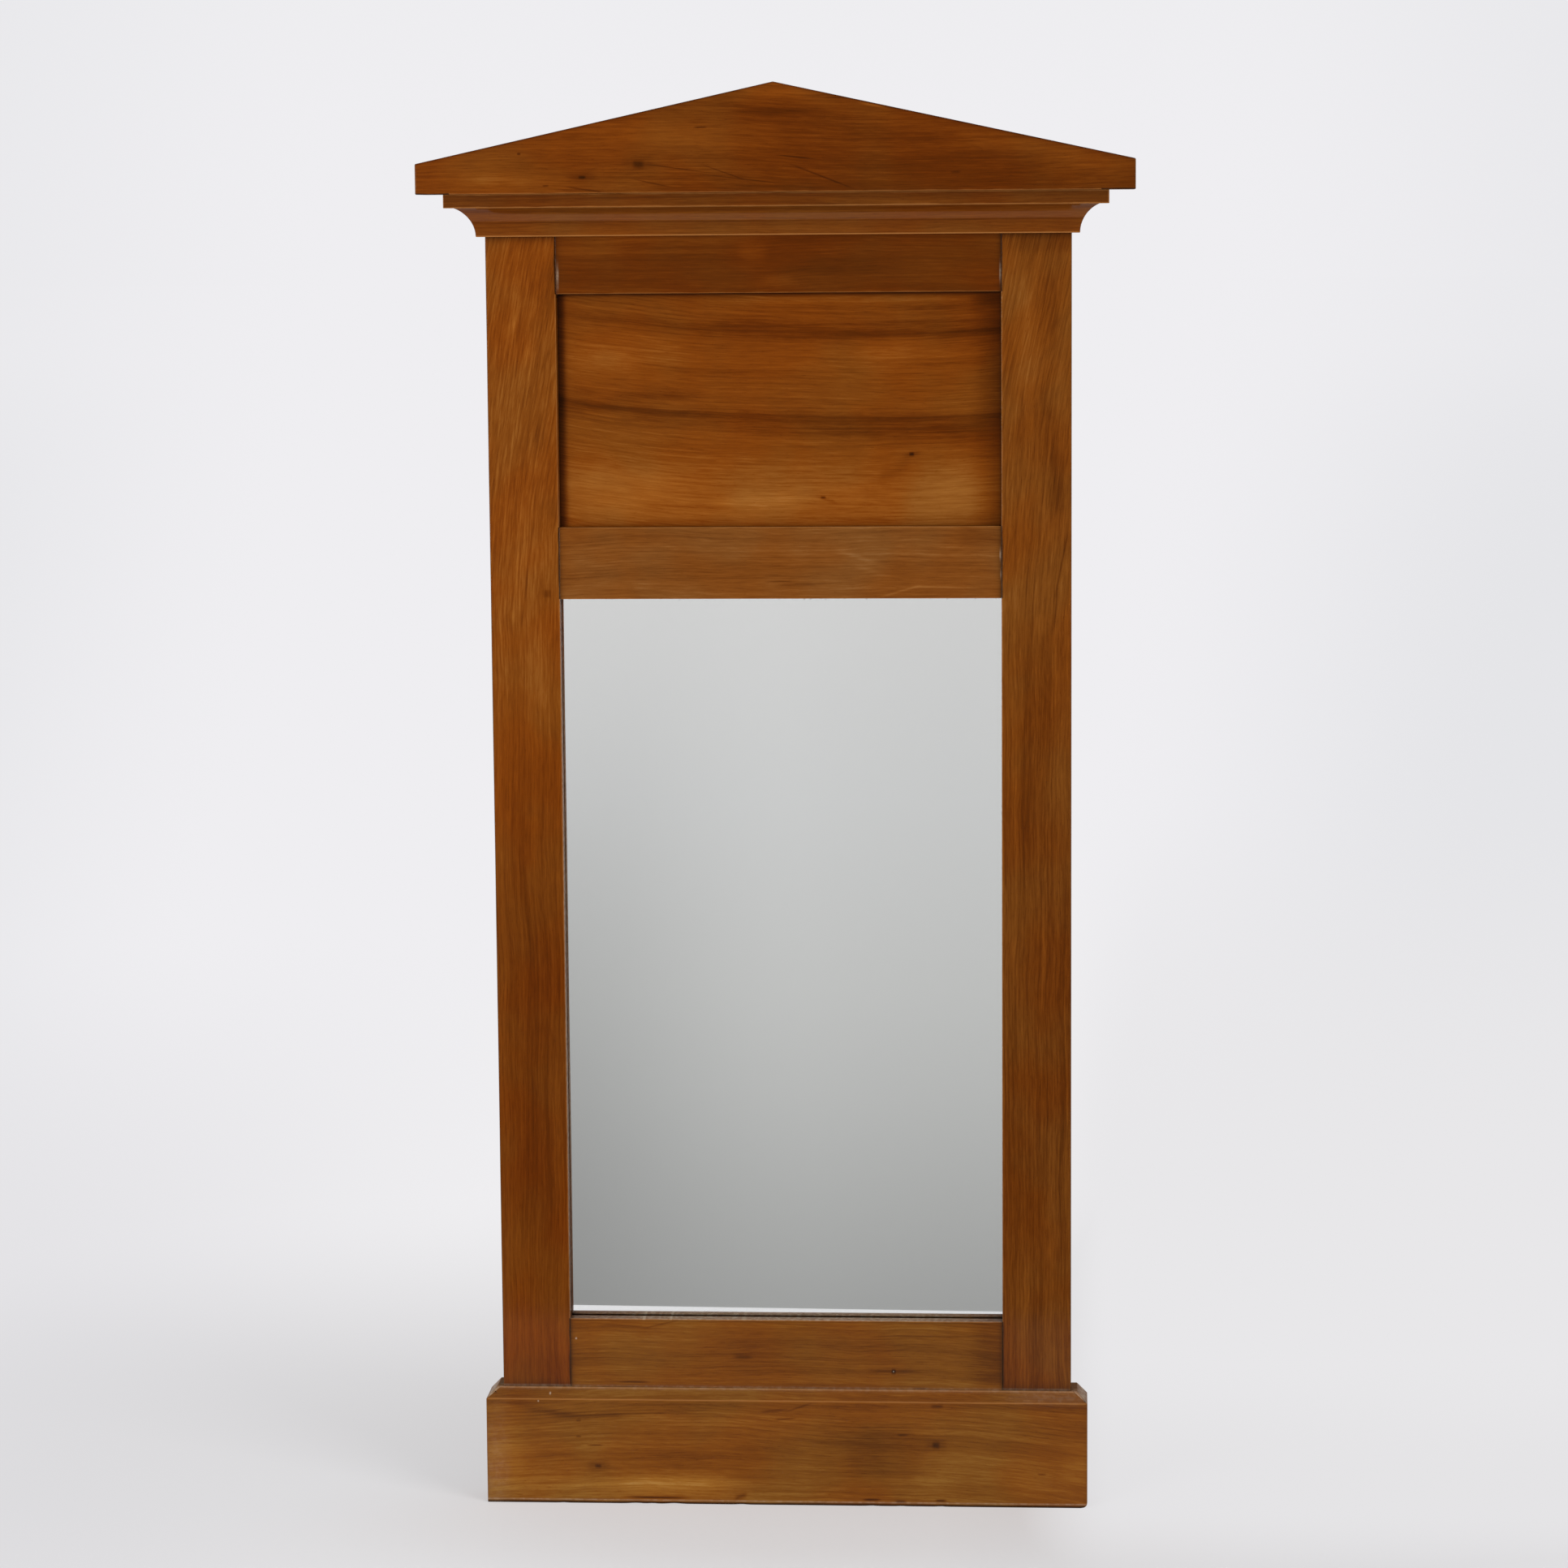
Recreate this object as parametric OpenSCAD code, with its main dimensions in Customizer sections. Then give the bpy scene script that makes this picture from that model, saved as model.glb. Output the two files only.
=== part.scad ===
// Wall mirror with a low gable, in solid fruitwood.
// X runs to the viewer's right, Y runs from the front to the wall, Z runs up from the table.
// Inside at_face() the front faces of the stiles lie at Y = 0.

/* [Frame] */
// Width across the two stiles
frame_w = 444.5; // [400:0.5:520]
// Width of each stile
stile_w = 53.2; // [48:0.1:65]
// Thickness of stiles and rails, front to back
frame_t = 25; // [24:0.5:32]
// Height of bottom rail that shows above the plinth
bottom_rail_show = 54.5; // [45:0.5:80]
// Height of bottom rail that the plinth front hides
bottom_rail_hidden = 55; // [35:1:65]
// Height of the middle rail
middle_rail_h = 55; // [50:0.5:80]
// Height of top rail that shows below the cornice
top_rail_show = 43.5; // [35:0.5:70]
// Length of each tenon
tenon_l = 35; // [25:1:38]
// Thickness of each tenon
tenon_t = 8; // [6:0.5:10]
// Wood left between a tenon and the nearest rebate or groove
tenon_shoulder = 3; // [2:0.5:5]
// Wood left above the top rail's tenon
top_tenon_shoulder = 12; // [8:1:20]
// Glue space at the bottom of each mortise
mortise_end_gap = 1; // [0.5:0.5:2]

/* [Mirror plate] */
// Height of glass that shows
glass_show_h = 564.7; // [450:0.1:700]
// Thickness of the glass
glass_t = 4; // [3:0.5:5]
// Thickness of the silvering with its coat of paint
silver_t = 0.3; // [0.2:0.1:0.5]
// Distance from the stile faces back to the glass
glass_recess = 10; // [8:0.5:11.5]
// Width of the rebate that holds the glass
glass_rebate = 9; // [7:0.5:12]
// Play between the glass edge and the rebate
glass_play = 1.5; // [1:0.5:2]
// Width of each wedge behind the glass
wedge_w = 10; // [8:1:14]
// Length of each wedge behind the glass
wedge_l = 30; // [20:1:50]
// Wedges on each long edge of the glass
wedges_long = 4; // [2:1:6]
// Wedges on each short edge of the glass
wedges_short = 2; // [2:1:4]
// Distance from a glass corner to the nearest wedge
wedge_inset = 45; // [30:1:70]

/* [Backboards] */
// Thickness of the backboards
board_t = 8; // [6:0.5:9]
// Width of the rebate that holds the backboards
board_rebate = 16; // [14:0.5:19]
// Play between the backboards and their rebate
board_play = 0.5; // [0.3:0.1:1]
// Shrinkage gap between neighbouring backboards
board_joint = 0.8; // [0.4:0.1:0.9]
// Length of the backboard nails
nail_l = 20; // [14:1:22]
// Radius of the backboard nails
nail_r = 0.9; // [0.7:0.1:1.1]
// Radius of the nail heads
nail_head_r = 2.1; // [1.8:0.1:2.6]
// Thickness of the nail heads
nail_head_t = 0.7; // [0.5:0.1:1]
// Distance from a board's edge to its nails
nail_inset = 35; // [20:1:60]

/* [Panel] */
// Height of panel that shows
panel_show_h = 177.3; // [120:0.1:260]
// Thickness of the panel
panel_t = 8; // [6:0.5:10]
// Distance from the stile faces back to the panel
panel_recess = 10; // [7:0.5:11]
// Depth of the groove that holds the panel
panel_groove = 8; // [6:0.5:10]
// Room for the panel to swell across its grooves
panel_play = 1.5; // [1:0.5:2.5]
// Play across the panel's thickness
panel_slack = 0.2; // [0.1:0.1:0.4]

/* [Plinth] */
// Height of the plinth
plinth_h = 91.5; // [80:0.5:120]
// Thickness of the plinth front
plinth_front_t = 9.5; // [9:0.5:16]
// Thickness of the plinth returns
plinth_side_t = 12.75; // [9:0.25:18]
// Width of the chamfer along the top of the plinth
plinth_chamfer = 8; // [4:0.5:8.5]
// Size of the glue blocks behind the plinth front
plinth_block = 20; // [12:1:24]
// Length of the glue blocks behind the plinth front
plinth_block_l = 60; // [40:1:90]
// Distance between the glue blocks behind the plinth front
plinth_block_step = 110; // [95:1:135]

/* [Cornice] */
// Height of the cove moulding
cove_h = 21.75; // [16:0.25:22.5]
// Radius of the hollow in the cove moulding
cove_r = 23.5; // [23:0.5:30]
// How far the foot of the cove stands out from the frame
cove_foot = 6.2; // [4:0.2:9]
// Thickness of the cornice board
cornice_t = 10.25; // [8:0.25:16]
// How far the cornice board stands out from the frame
cornice_out = 27.8; // [24:0.2:36]
// Length of the cornice nails
cornice_nail_l = 36; // [30:1:45]
// Distance from the frame's sides to the outer cornice nails
cornice_nail_inset = 9; // [7:0.5:12]
// Distance between the two inner cornice nails
cornice_nail_step = 170; // [120:5:240]

/* [Pediment] */
// Height of the gable at its two ends
pediment_end_h = 22.75; // [18:0.25:35]
// Rise of the gable from its ends to its ridge
pediment_rise = 58.75; // [40:0.25:90]
// Thickness of the pediment board
pediment_t = 22; // [18:1:28]
// How far the pediment stands out in front of the cornice board
pediment_front_out = 10.2; // [5:0.2:12]
// How far the pediment stands out beside the cornice board
pediment_side_out = 19.5; // [12:0.5:24]
// Width of the pediment returns
return_w = 40; // [32:1:60]
// Size of the glue blocks behind the pediment board
pediment_block = 24; // [16:1:32]
// Length of the glue blocks behind the pediment board
pediment_block_l = 45; // [30:1:70]
// Distance between the glue blocks behind the pediment board
pediment_block_step = 135; // [80:5:160]

/* [Pins] */
// Radius of the pins that hold mouldings and plinth
pin_r = 0.7; // [0.5:0.1:1]
// Wood left between a pin's end and the tenons
pin_clear = 2; // [1:0.5:3]
// Depth of each pin's head below the polished face
pin_sink = 1; // [0.5:0.5:2]
// Height of the cove pins above the foot of the cove
cove_pin_rise = 5; // [3:0.5:8]
// Distance between the cove pins along the front
cove_pin_step = 96; // [70:1:98]
// Distance of the cove return pins behind the stile faces
cove_return_pin_y = 19; // [16:1:21]
// Height of the upper plinth pins
plinth_pin_high = 76; // [60:1:78]
// Height of the lower plinth pins
plinth_pin_low = 24; // [12:1:40]

/* [Hangers] */
// Distance from the top of the frame down to the ring's axis
hanger_drop = 103.25; // [80:0.25:200]
// Width of each strap
strap_w = 14; // [10:1:20]
// Length of each strap below the ring's axis
strap_l = 38; // [34:1:50]
// Thickness of the strap metal
strap_t = 1.5; // [1:0.1:2]
// Radius of the ring's wire
wire_r = 1.5; // [1.2:0.1:2]
// Radius of the ring's bow, at the middle of its wire
ring_r = 14; // [12:0.5:20]
// Radial play of the ring's bar in the strap's eye
ring_play = 0.08; // [0.05:0.01:0.1]
// Space between the hanging ring and the strap
ring_gap = 0.4; // [0.3:0.1:0.8]
// Distance from the ring's axis to the upper screw
screw_drop = 12; // [9:1:16]
// Distance between the two screws of a strap
screw_step = 18; // [14:1:20]
// Length of the hanger screws
screw_l = 16; // [10:1:18]
// Radius of the hanger screws
screw_r = 1.6; // [1.2:0.1:1.9]
// Radius of the screw heads
screw_head_r = 3.2; // [2.8:0.1:3.6]
// Width of the slot in the screw heads
screw_slot_w = 0.8; // [0.6:0.1:1]
// Depth of the slot in the screw heads
screw_slot_d = 0.8; // [0.5:0.1:1]

/* [Hidden] */
$fn = 48;

LEFT = -1;
RIGHT = 1;
BOARDS = 3;
// Glue blocks lie at the middle and one step to each side of it, front cove pins up to two steps
BLOCK_STEPS = [-1 : 1];
COVE_PIN_STEPS = [-2 : 2];

cherry = "#96551f";
dark_cherry = "#84481a";
spruce = "#cdb185";
clear_glass = "#cdd8d5";
silver = "#aeb4b5";
brass = "#b3924c";
iron = "#5d5a57";

// Surplus length of a cutter, so that it passes cleanly through a face
cut = 1;

// Heights of the edges between the parts of the front, from the table up
bottom_rail_top = plinth_h + bottom_rail_show;
bottom_rail_foot = plinth_h - bottom_rail_hidden;
glass_top = bottom_rail_top + glass_show_h;
middle_rail_top = glass_top + middle_rail_h;
panel_top = middle_rail_top + panel_show_h;
cove_z = panel_top + top_rail_show;
frame_top = cove_z + cove_h;
cornice_top = frame_top + cornice_t;

// Half widths, from the middle plane outwards
frame_x = frame_w / 2;
open_x = frame_x - stile_w;
stile_x = (frame_x + open_x) / 2;
glass_x = open_x + glass_rebate - glass_play;
plinth_x = frame_x + plinth_side_t;
cornice_x = frame_x + cornice_out;
pediment_x = cornice_x + pediment_side_out;

// Depths, measured back from the stile faces
board_front = frame_t - board_t;
glass_back = glass_recess + glass_t;
silver_back = glass_back + silver_t;
pediment_front = -cornice_out - pediment_front_out;
pediment_back = pediment_front + pediment_t;
pin_grip = panel_recess - pin_clear;

// Hanger sizes that follow from the wire and the strap
eye_r = wire_r + ring_play;
knuckle_r = eye_r + strap_t;
ring_y = frame_t + strap_t + ring_gap + wire_r;
ring_z = frame_top - hanger_drop;
hanger_back = ring_y + knuckle_r;

// The whole object's depth is centred on Y = 0
face_y = (-pediment_front - hanger_back) / 2;

// How far the hollow has carried the cove out at its top edge
cove_head = cove_foot + cove_r - sqrt(cove_r * cove_r - cove_h * cove_h);
cove_x = frame_x + cove_head;

// The rails: foot, top, and what a rebate or groove takes off the lower and the upper edge
BOTTOM_RAIL = [bottom_rail_foot, bottom_rail_top, 0, board_rebate];
MIDDLE_RAIL = [glass_top, middle_rail_top, board_rebate, panel_groove];
TOP_RAIL = [panel_top, frame_top, panel_groove, top_tenon_shoulder - tenon_shoulder];
RAILS = [BOTTOM_RAIL, MIDDLE_RAIL, TOP_RAIL];

// Backboards: the rebate's height shared out with a joint between neighbours
boards_foot = bottom_rail_top - board_rebate + board_play;
boards_top = glass_top + board_rebate - board_play;
board_h = (boards_top - boards_foot - (BOARDS - 1) * board_joint) / BOARDS;
function board_foot(i) = boards_foot + i * (board_h + board_joint);

// Middle of the ledge that the backboards are nailed to
ledge_x = open_x + (glass_rebate + board_rebate) / 2;

module at_face() { translate([0, face_y, 0]) children(); }

module on_side(side) {
    if (side == RIGHT) children();
    else mirror([1, 0, 0]) children();
}

module on_both_sides() { for (side = [LEFT, RIGHT]) on_side(side) children(); }

module block(x, y, z) {
    translate([x[0], y[0], z[0]]) cube([x[1] - x[0], y[1] - y[0], z[1] - z[0]]);
}

// A flat outline given in X and Y, from one height to another
module upright(outline, z) { translate([0, 0, z[0]]) linear_extrude(z[1] - z[0]) polygon(outline); }

// A flat outline given in X and Z, from one depth to another
module crosswise(outline, y) {
    translate([0, y[1], 0]) rotate([90, 0, 0]) linear_extrude(y[1] - y[0]) polygon(outline);
}

// A flat outline given in Y and Z, from one X to another
module lengthwise(outline, x) {
    translate([x[0], 0, 0]) rotate([90, 0, 90]) linear_extrude(x[1] - x[0]) polygon(outline);
}

// Frame members

// The stepped rebate behind the opening, which takes the glass and the backboards
module glass_pocket() {
    block([-open_x - glass_rebate, open_x + glass_rebate], [glass_recess, frame_t + cut],
        [bottom_rail_top - glass_rebate, glass_top + glass_rebate]);
    block([-open_x - board_rebate, open_x + board_rebate], [board_front, frame_t + cut],
        [bottom_rail_top - board_rebate, glass_top + board_rebate]);
}

// The groove round the upper opening, which takes the panel
module panel_pocket() {
    block([-open_x - panel_groove, open_x + panel_groove],
        [panel_recess, panel_recess + panel_t + panel_slack],
        [middle_rail_top - panel_groove, panel_top + panel_groove]);
}

// The right-hand tenon of a rail, or with a gap at its end the mortise for it
module tenon(rail, end_gap) {
    block([open_x, open_x + tenon_l + end_gap], [panel_recess, panel_recess + tenon_t],
        [rail[0] + rail[2] + tenon_shoulder, rail[1] - rail[3] - tenon_shoulder]);
}

module rail(size) {
    difference() {
        union() {
            block([-open_x, open_x], [0, frame_t], [size[0], size[1]]);
            on_both_sides() tenon(size, 0);
        }
        glass_pocket();
        panel_pocket();
        on_both_sides() cornice_nail_places() cornice_nail();
        cove_pin_places() cove_pin();
    }
}

module stile(side) {
    on_side(side) difference() {
        block([open_x, frame_x], [0, frame_t], [0, frame_top]);
        glass_pocket();
        panel_pocket();
        for (size = RAILS) tenon(size, mortise_end_gap);
        board_nail_places() board_nail();
        cornice_nail_places() cornice_nail();
        cove_pin_places() cove_pin();
        cove_return_pin_places() cove_pin();
        plinth_pin_places() plinth_pin();
        plinth_return_pin_places() plinth_return_pin();
        hanger_screw_places() hanger_screw_body();
    }
}

module left_stile() { color(cherry) at_face() stile(LEFT); }
module right_stile() { color(cherry) at_face() stile(RIGHT); }
module top_rail() { color(cherry) at_face() rail(TOP_RAIL); }
module middle_rail() { color(cherry) at_face() rail(MIDDLE_RAIL); }
module bottom_rail() { color(cherry) at_face() rail(BOTTOM_RAIL); }

// Panel, glass and what is behind it

module frieze_panel() {
    panel_x = open_x + panel_groove - panel_play;
    color(cherry) at_face() block([-panel_x, panel_x], [panel_recess, panel_recess + panel_t],
        [middle_rail_top - panel_groove, panel_top + panel_groove - 2 * panel_play]);
}

module plate(y) {
    block([-glass_x, glass_x], y,
        [bottom_rail_top - glass_rebate, glass_top + glass_rebate - 2 * glass_play]);
}

module mirror_glass() { color(clear_glass) at_face() plate([glass_recess, glass_back]); }
module mirror_silvering() { color(silver) at_face() plate([glass_back, silver_back]); }

// Slips of wood between the silvering and the backboards, spread along the four edges of the plate
module glass_wedges() {
    plate_foot = bottom_rail_top - glass_rebate;
    plate_top = glass_top + glass_rebate - 2 * glass_play;
    long_step = (plate_top - plate_foot - 2 * wedge_inset - wedge_l) / (wedges_long - 1);
    short_step = (2 * (glass_x - wedge_inset) - wedge_l) / (wedges_short - 1);
    depth = [silver_back, board_front];
    color(spruce) at_face() {
        for (i = [0 : wedges_long - 1]) {
            z = plate_foot + wedge_inset + i * long_step;
            on_both_sides() block([glass_x - wedge_w, glass_x], depth, [z, z + wedge_l]);
        }
        for (i = [0 : wedges_short - 1], z = [plate_foot, plate_top - wedge_w]) {
            x = wedge_inset - glass_x + i * short_step;
            block([x, x + wedge_l], depth, [z, z + wedge_w]);
        }
    }
}

// A round nail with a flat head, pointing towards -Y, with its head's outer face at Y = 0
module nail(length) {
    rotate([90, 0, 0]) {
        cylinder(r = nail_head_r, h = nail_head_t);
        cylinder(r = nail_r, h = length);
    }
}

module board_nail() { nail(nail_l); }

module board_nail_places() {
    for (i = [0 : BOARDS - 1], z = [nail_inset, board_h - nail_inset])
        translate([ledge_x, frame_t, board_foot(i) + z]) children();
}

module backboard(i) {
    x = open_x + board_rebate - board_play;
    color(spruce) at_face() difference() {
        block([-x, x], [board_front, frame_t], [board_foot(i), board_foot(i) + board_h]);
        on_both_sides() board_nail_places() board_nail();
    }
}

module backboard_bottom() { backboard(0); }
module backboard_middle() { backboard(1); }
module backboard_top() { backboard(2); }
module backboard_nails() { color(iron) at_face() on_both_sides() board_nail_places() board_nail(); }

// Plinth

// The plinth as one piece, with its chamfer along the front and both sides
module plinth_body() {
    x = plinth_x;
    c = plinth_chamfer;
    intersection() {
        lengthwise([[-plinth_front_t, 0], [frame_t, 0], [frame_t, plinth_h],
            [c - plinth_front_t, plinth_h], [-plinth_front_t, plinth_h - c]], [-x, x]);
        crosswise([[-x, 0], [x, 0], [x, plinth_h - c], [x - c, plinth_h],
            [c - x, plinth_h], [-x, plinth_h - c]], [-plinth_front_t, frame_t]);
    }
}

module plinth_front() {
    x = plinth_x;
    color(cherry) at_face() difference() {
        intersection() {
            plinth_body();
            upright([[-x, -plinth_front_t], [x, -plinth_front_t], [frame_x, 0], [-frame_x, 0]],
                [0, plinth_h]);
        }
        on_both_sides() plinth_pin_places() plinth_pin();
    }
}

module plinth_return(side) {
    x = plinth_x;
    color(cherry) at_face() on_side(side) difference() {
        intersection() {
            plinth_body();
            upright([[frame_x, 0], [x, -plinth_front_t], [x, frame_t], [frame_x, frame_t]],
                [0, plinth_h]);
        }
        plinth_return_pin_places() plinth_return_pin();
    }
}

module plinth_left_return() { plinth_return(LEFT); }
module plinth_right_return() { plinth_return(RIGHT); }

// Three-cornered blocks in the corner between the plinth front and the bottom rail
module plinth_blocks() {
    b = plinth_block;
    color(spruce) at_face() for (i = BLOCK_STEPS)
        translate([i * plinth_block_step, 0, bottom_rail_foot])
            lengthwise([[0, 0], [0, -b], [b, 0]], [-plinth_block_l / 2, plinth_block_l / 2]);
}

module plinth_pin_places() {
    for (z = [plinth_pin_low, plinth_pin_high])
        translate([stile_x, pin_grip, z]) children();
}

module plinth_return_pin_places() {
    for (z = [plinth_pin_low, plinth_pin_high])
        translate([frame_x - pin_grip, frame_t / 2, z]) children();
}

module plinth_pin() {
    rotate([90, 0, 0]) cylinder(r = pin_r, h = pin_grip + plinth_front_t - pin_sink);
}

module plinth_return_pin() {
    rotate([0, 90, 0]) cylinder(r = pin_r, h = pin_grip + plinth_side_t - pin_sink);
}

module plinth_pins() {
    color(iron) at_face() on_both_sides() {
        plinth_pin_places() plinth_pin();
        plinth_return_pin_places() plinth_return_pin();
    }
}

// Cornice

// A length of cove moulding along X, with its back at Y = 0 and its foot at Z = 0
module cove_bar(x) {
    difference() {
        block(x, [-cove_head, 0], [0, cove_h]);
        translate([x[0] - cut, -cove_foot - cove_r, 0])
            rotate([0, 90, 0]) cylinder(r = cove_r, h = x[1] - x[0] + 2 * cut);
    }
}

module cove_front() {
    x = cove_x;
    color(dark_cherry) at_face() difference() {
        intersection() {
            translate([0, 0, cove_z]) cove_bar([-x, x]);
            upright([[-x, -cove_head], [x, -cove_head], [frame_x, 0], [-frame_x, 0]],
                [cove_z, frame_top]);
        }
        cove_pin_places() cove_pin();
    }
}

module cove_return(side) {
    x = cove_x;
    color(dark_cherry) at_face() on_side(side) difference() {
        intersection() {
            translate([frame_x, 0, cove_z]) rotate([0, 0, 90]) cove_bar([-cove_head, frame_t]);
            upright([[frame_x, 0], [x, -cove_head], [x, frame_t], [frame_x, frame_t]],
                [cove_z, frame_top]);
        }
        cove_return_pin_places() cove_pin();
    }
}

module cove_left_return() { cove_return(LEFT); }
module cove_right_return() { cove_return(RIGHT); }

// A pin from the frame towards -Y, which ends below the face of the cove's foot
module cove_pin() { rotate([90, 0, 0]) cylinder(r = pin_r, h = pin_grip + cove_foot - pin_sink); }

module cove_pin_places() {
    for (i = COVE_PIN_STEPS) translate([i * cove_pin_step, pin_grip, cove_z + cove_pin_rise]) children();
}

module cove_return_pin_places() {
    translate([frame_x - pin_grip, cove_return_pin_y, cove_z + cove_pin_rise])
        rotate([0, 0, 90]) children();
}

module cove_pins() {
    color(iron) at_face() {
        cove_pin_places() cove_pin();
        on_both_sides() cove_return_pin_places() cove_pin();
    }
}

module cornice_board() {
    color(cherry) at_face() difference() {
        block([-cornice_x, cornice_x], [-cornice_out, frame_t], [frame_top, cornice_top]);
        on_both_sides() cornice_nail_places() cornice_nail();
    }
}

// A nail that points down, with its head's outer face at Z = 0
module cornice_nail() { rotate([90, 0, 0]) nail(cornice_nail_l); }

module cornice_nail_places() {
    for (x = [cornice_nail_step / 2, frame_x - cornice_nail_inset])
        translate([x, frame_t / 2, cornice_top]) children();
}

module cornice_nails() { color(iron) at_face() on_both_sides() cornice_nail_places() cornice_nail(); }

// Pediment

// Height of the gable's edge above the cornice board, at a distance x from the middle
function gable_h(x) = pediment_end_h + pediment_rise * (1 - x / pediment_x);

module pediment_board() {
    color(cherry) at_face() translate([0, 0, cornice_top])
        crosswise([[-pediment_x, 0], [pediment_x, 0], [pediment_x, gable_h(pediment_x)],
            [0, gable_h(0)], [-pediment_x, gable_h(pediment_x)]], [pediment_front, pediment_back]);
}

module pediment_return(side) {
    x = pediment_x - return_w;
    color(cherry) at_face() on_side(side) translate([0, 0, cornice_top])
        crosswise([[x, 0], [pediment_x, 0], [pediment_x, gable_h(pediment_x)], [x, gable_h(x)]],
            [pediment_back, frame_t]);
}

module pediment_left_return() { pediment_return(LEFT); }
module pediment_right_return() { pediment_return(RIGHT); }

// Three-cornered blocks in the corner between the pediment board and the cornice board
module pediment_blocks() {
    b = pediment_block;
    color(spruce) at_face() for (i = BLOCK_STEPS)
        translate([i * pediment_block_step, pediment_back, cornice_top])
            lengthwise([[0, 0], [b, 0], [0, b]], [-pediment_block_l / 2, pediment_block_l / 2]);
}

// Hangers

module at_hanger(side) { on_side(side) translate([stile_x, 0, ring_z]) children(); }

// A strap of sheet metal whose upper end is rolled into an eye for the ring's bar
module hanger_strap(side) {
    color(brass) at_face() difference() {
        at_hanger(side) difference() {
            union() {
                block([-strap_w / 2, strap_w / 2], [frame_t, frame_t + strap_t], [-strap_l, 0]);
                translate([-strap_w / 2, ring_y, 0])
                    rotate([0, 90, 0]) cylinder(r = knuckle_r, h = strap_w);
            }
            translate([-strap_w / 2 - cut, ring_y, 0])
                rotate([0, 90, 0]) cylinder(r = eye_r, h = strap_w + 2 * cut);
        }
        on_side(side) hanger_screw_places() hanger_screw_body();
    }
}

module left_hanger_strap() { hanger_strap(LEFT); }
module right_hanger_strap() { hanger_strap(RIGHT); }

// A ring bent from round wire: a straight bar through the eye and a half-round bow below it
module hanger_ring(side) {
    color(brass) at_face() at_hanger(side) translate([0, ring_y, 0]) {
        translate([-ring_r, 0, 0]) rotate([0, 90, 0]) cylinder(r = wire_r, h = 2 * ring_r);
        rotate([-90, 0, 0]) rotate_extrude(angle = 180) translate([ring_r, 0]) circle(r = wire_r);
        for (x = [-ring_r, ring_r]) translate([x, 0, 0]) sphere(r = wire_r);
    }
}

module left_hanger_ring() { hanger_ring(LEFT); }
module right_hanger_ring() { hanger_ring(RIGHT); }

module hanger_screw_places() {
    for (drop = [screw_drop, screw_drop + screw_step])
        translate([stile_x, frame_t + strap_t, ring_z - drop]) children();
}

// A countersunk wood screw towards -Y, with its head flush with the strap
module hanger_screw_body() {
    rotate([90, 0, 0]) {
        cylinder(r1 = screw_head_r, r2 = screw_r, h = screw_head_r - screw_r);
        cylinder(r = screw_r, h = screw_l);
    }
}

module hanger_screws() {
    color(iron) at_face() on_both_sides() hanger_screw_places() difference() {
        hanger_screw_body();
        block([-screw_head_r - cut, screw_head_r + cut], [-screw_slot_d, cut],
            [-screw_slot_w / 2, screw_slot_w / 2]);
    }
}

left_stile();
right_stile();
top_rail();
middle_rail();
bottom_rail();
frieze_panel();
mirror_glass();
mirror_silvering();
glass_wedges();
backboard_top();
backboard_middle();
backboard_bottom();
backboard_nails();
plinth_front();
plinth_left_return();
plinth_right_return();
plinth_blocks();
plinth_pins();
cove_front();
cove_left_return();
cove_right_return();
cove_pins();
cornice_board();
cornice_nails();
pediment_board();
pediment_left_return();
pediment_right_return();
pediment_blocks();
left_hanger_strap();
right_hanger_strap();
left_hanger_ring();
right_hanger_ring();
hanger_screws();
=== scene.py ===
# %% [markdown]
# # A wall mirror in polished fruitwood
#
# The mirror is a joiner's piece: two stiles and three rails hold a plate of glass below and a plain
# wooden panel above. A plinth is planted round its foot, and a hollow moulding, a flat board and a low
# gable crown it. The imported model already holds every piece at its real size. This lesson gives them
# their looks: eased and worn arrises, grain that follows each board, old polish, silvered glass.

# %% The fixed frame
import math

import bmesh
import bpy
import numpy as np
from mathutils import Matrix, Vector


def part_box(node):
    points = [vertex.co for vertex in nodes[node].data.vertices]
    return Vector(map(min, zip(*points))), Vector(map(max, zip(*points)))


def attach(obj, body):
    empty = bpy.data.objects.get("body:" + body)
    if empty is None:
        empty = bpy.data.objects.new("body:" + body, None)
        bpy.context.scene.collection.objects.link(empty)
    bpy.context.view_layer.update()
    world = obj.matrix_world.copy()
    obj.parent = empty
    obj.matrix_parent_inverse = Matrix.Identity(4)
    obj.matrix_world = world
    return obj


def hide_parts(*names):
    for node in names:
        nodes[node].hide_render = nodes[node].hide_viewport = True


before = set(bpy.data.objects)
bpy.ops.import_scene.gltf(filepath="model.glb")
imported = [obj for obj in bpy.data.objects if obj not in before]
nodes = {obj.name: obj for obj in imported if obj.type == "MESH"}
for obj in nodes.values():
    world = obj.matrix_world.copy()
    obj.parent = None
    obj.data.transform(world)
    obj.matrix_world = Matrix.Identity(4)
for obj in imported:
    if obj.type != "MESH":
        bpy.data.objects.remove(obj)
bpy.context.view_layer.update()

MM = 0.001
BODY = "mirror"


def linked(name, data):
    """A new object with this data, at the origin and in the scene."""
    made = bpy.data.objects.new(name, data)
    bpy.context.scene.collection.objects.link(made)
    return made

# %% [markdown]
# ## Places that the looks are measured from
#
# A board's look depends on where it is: the arris it shares with a neighbour, the corner where dust
# stays. All such places are read from the boxes of the pieces, so nothing here has to be fitted.

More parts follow.
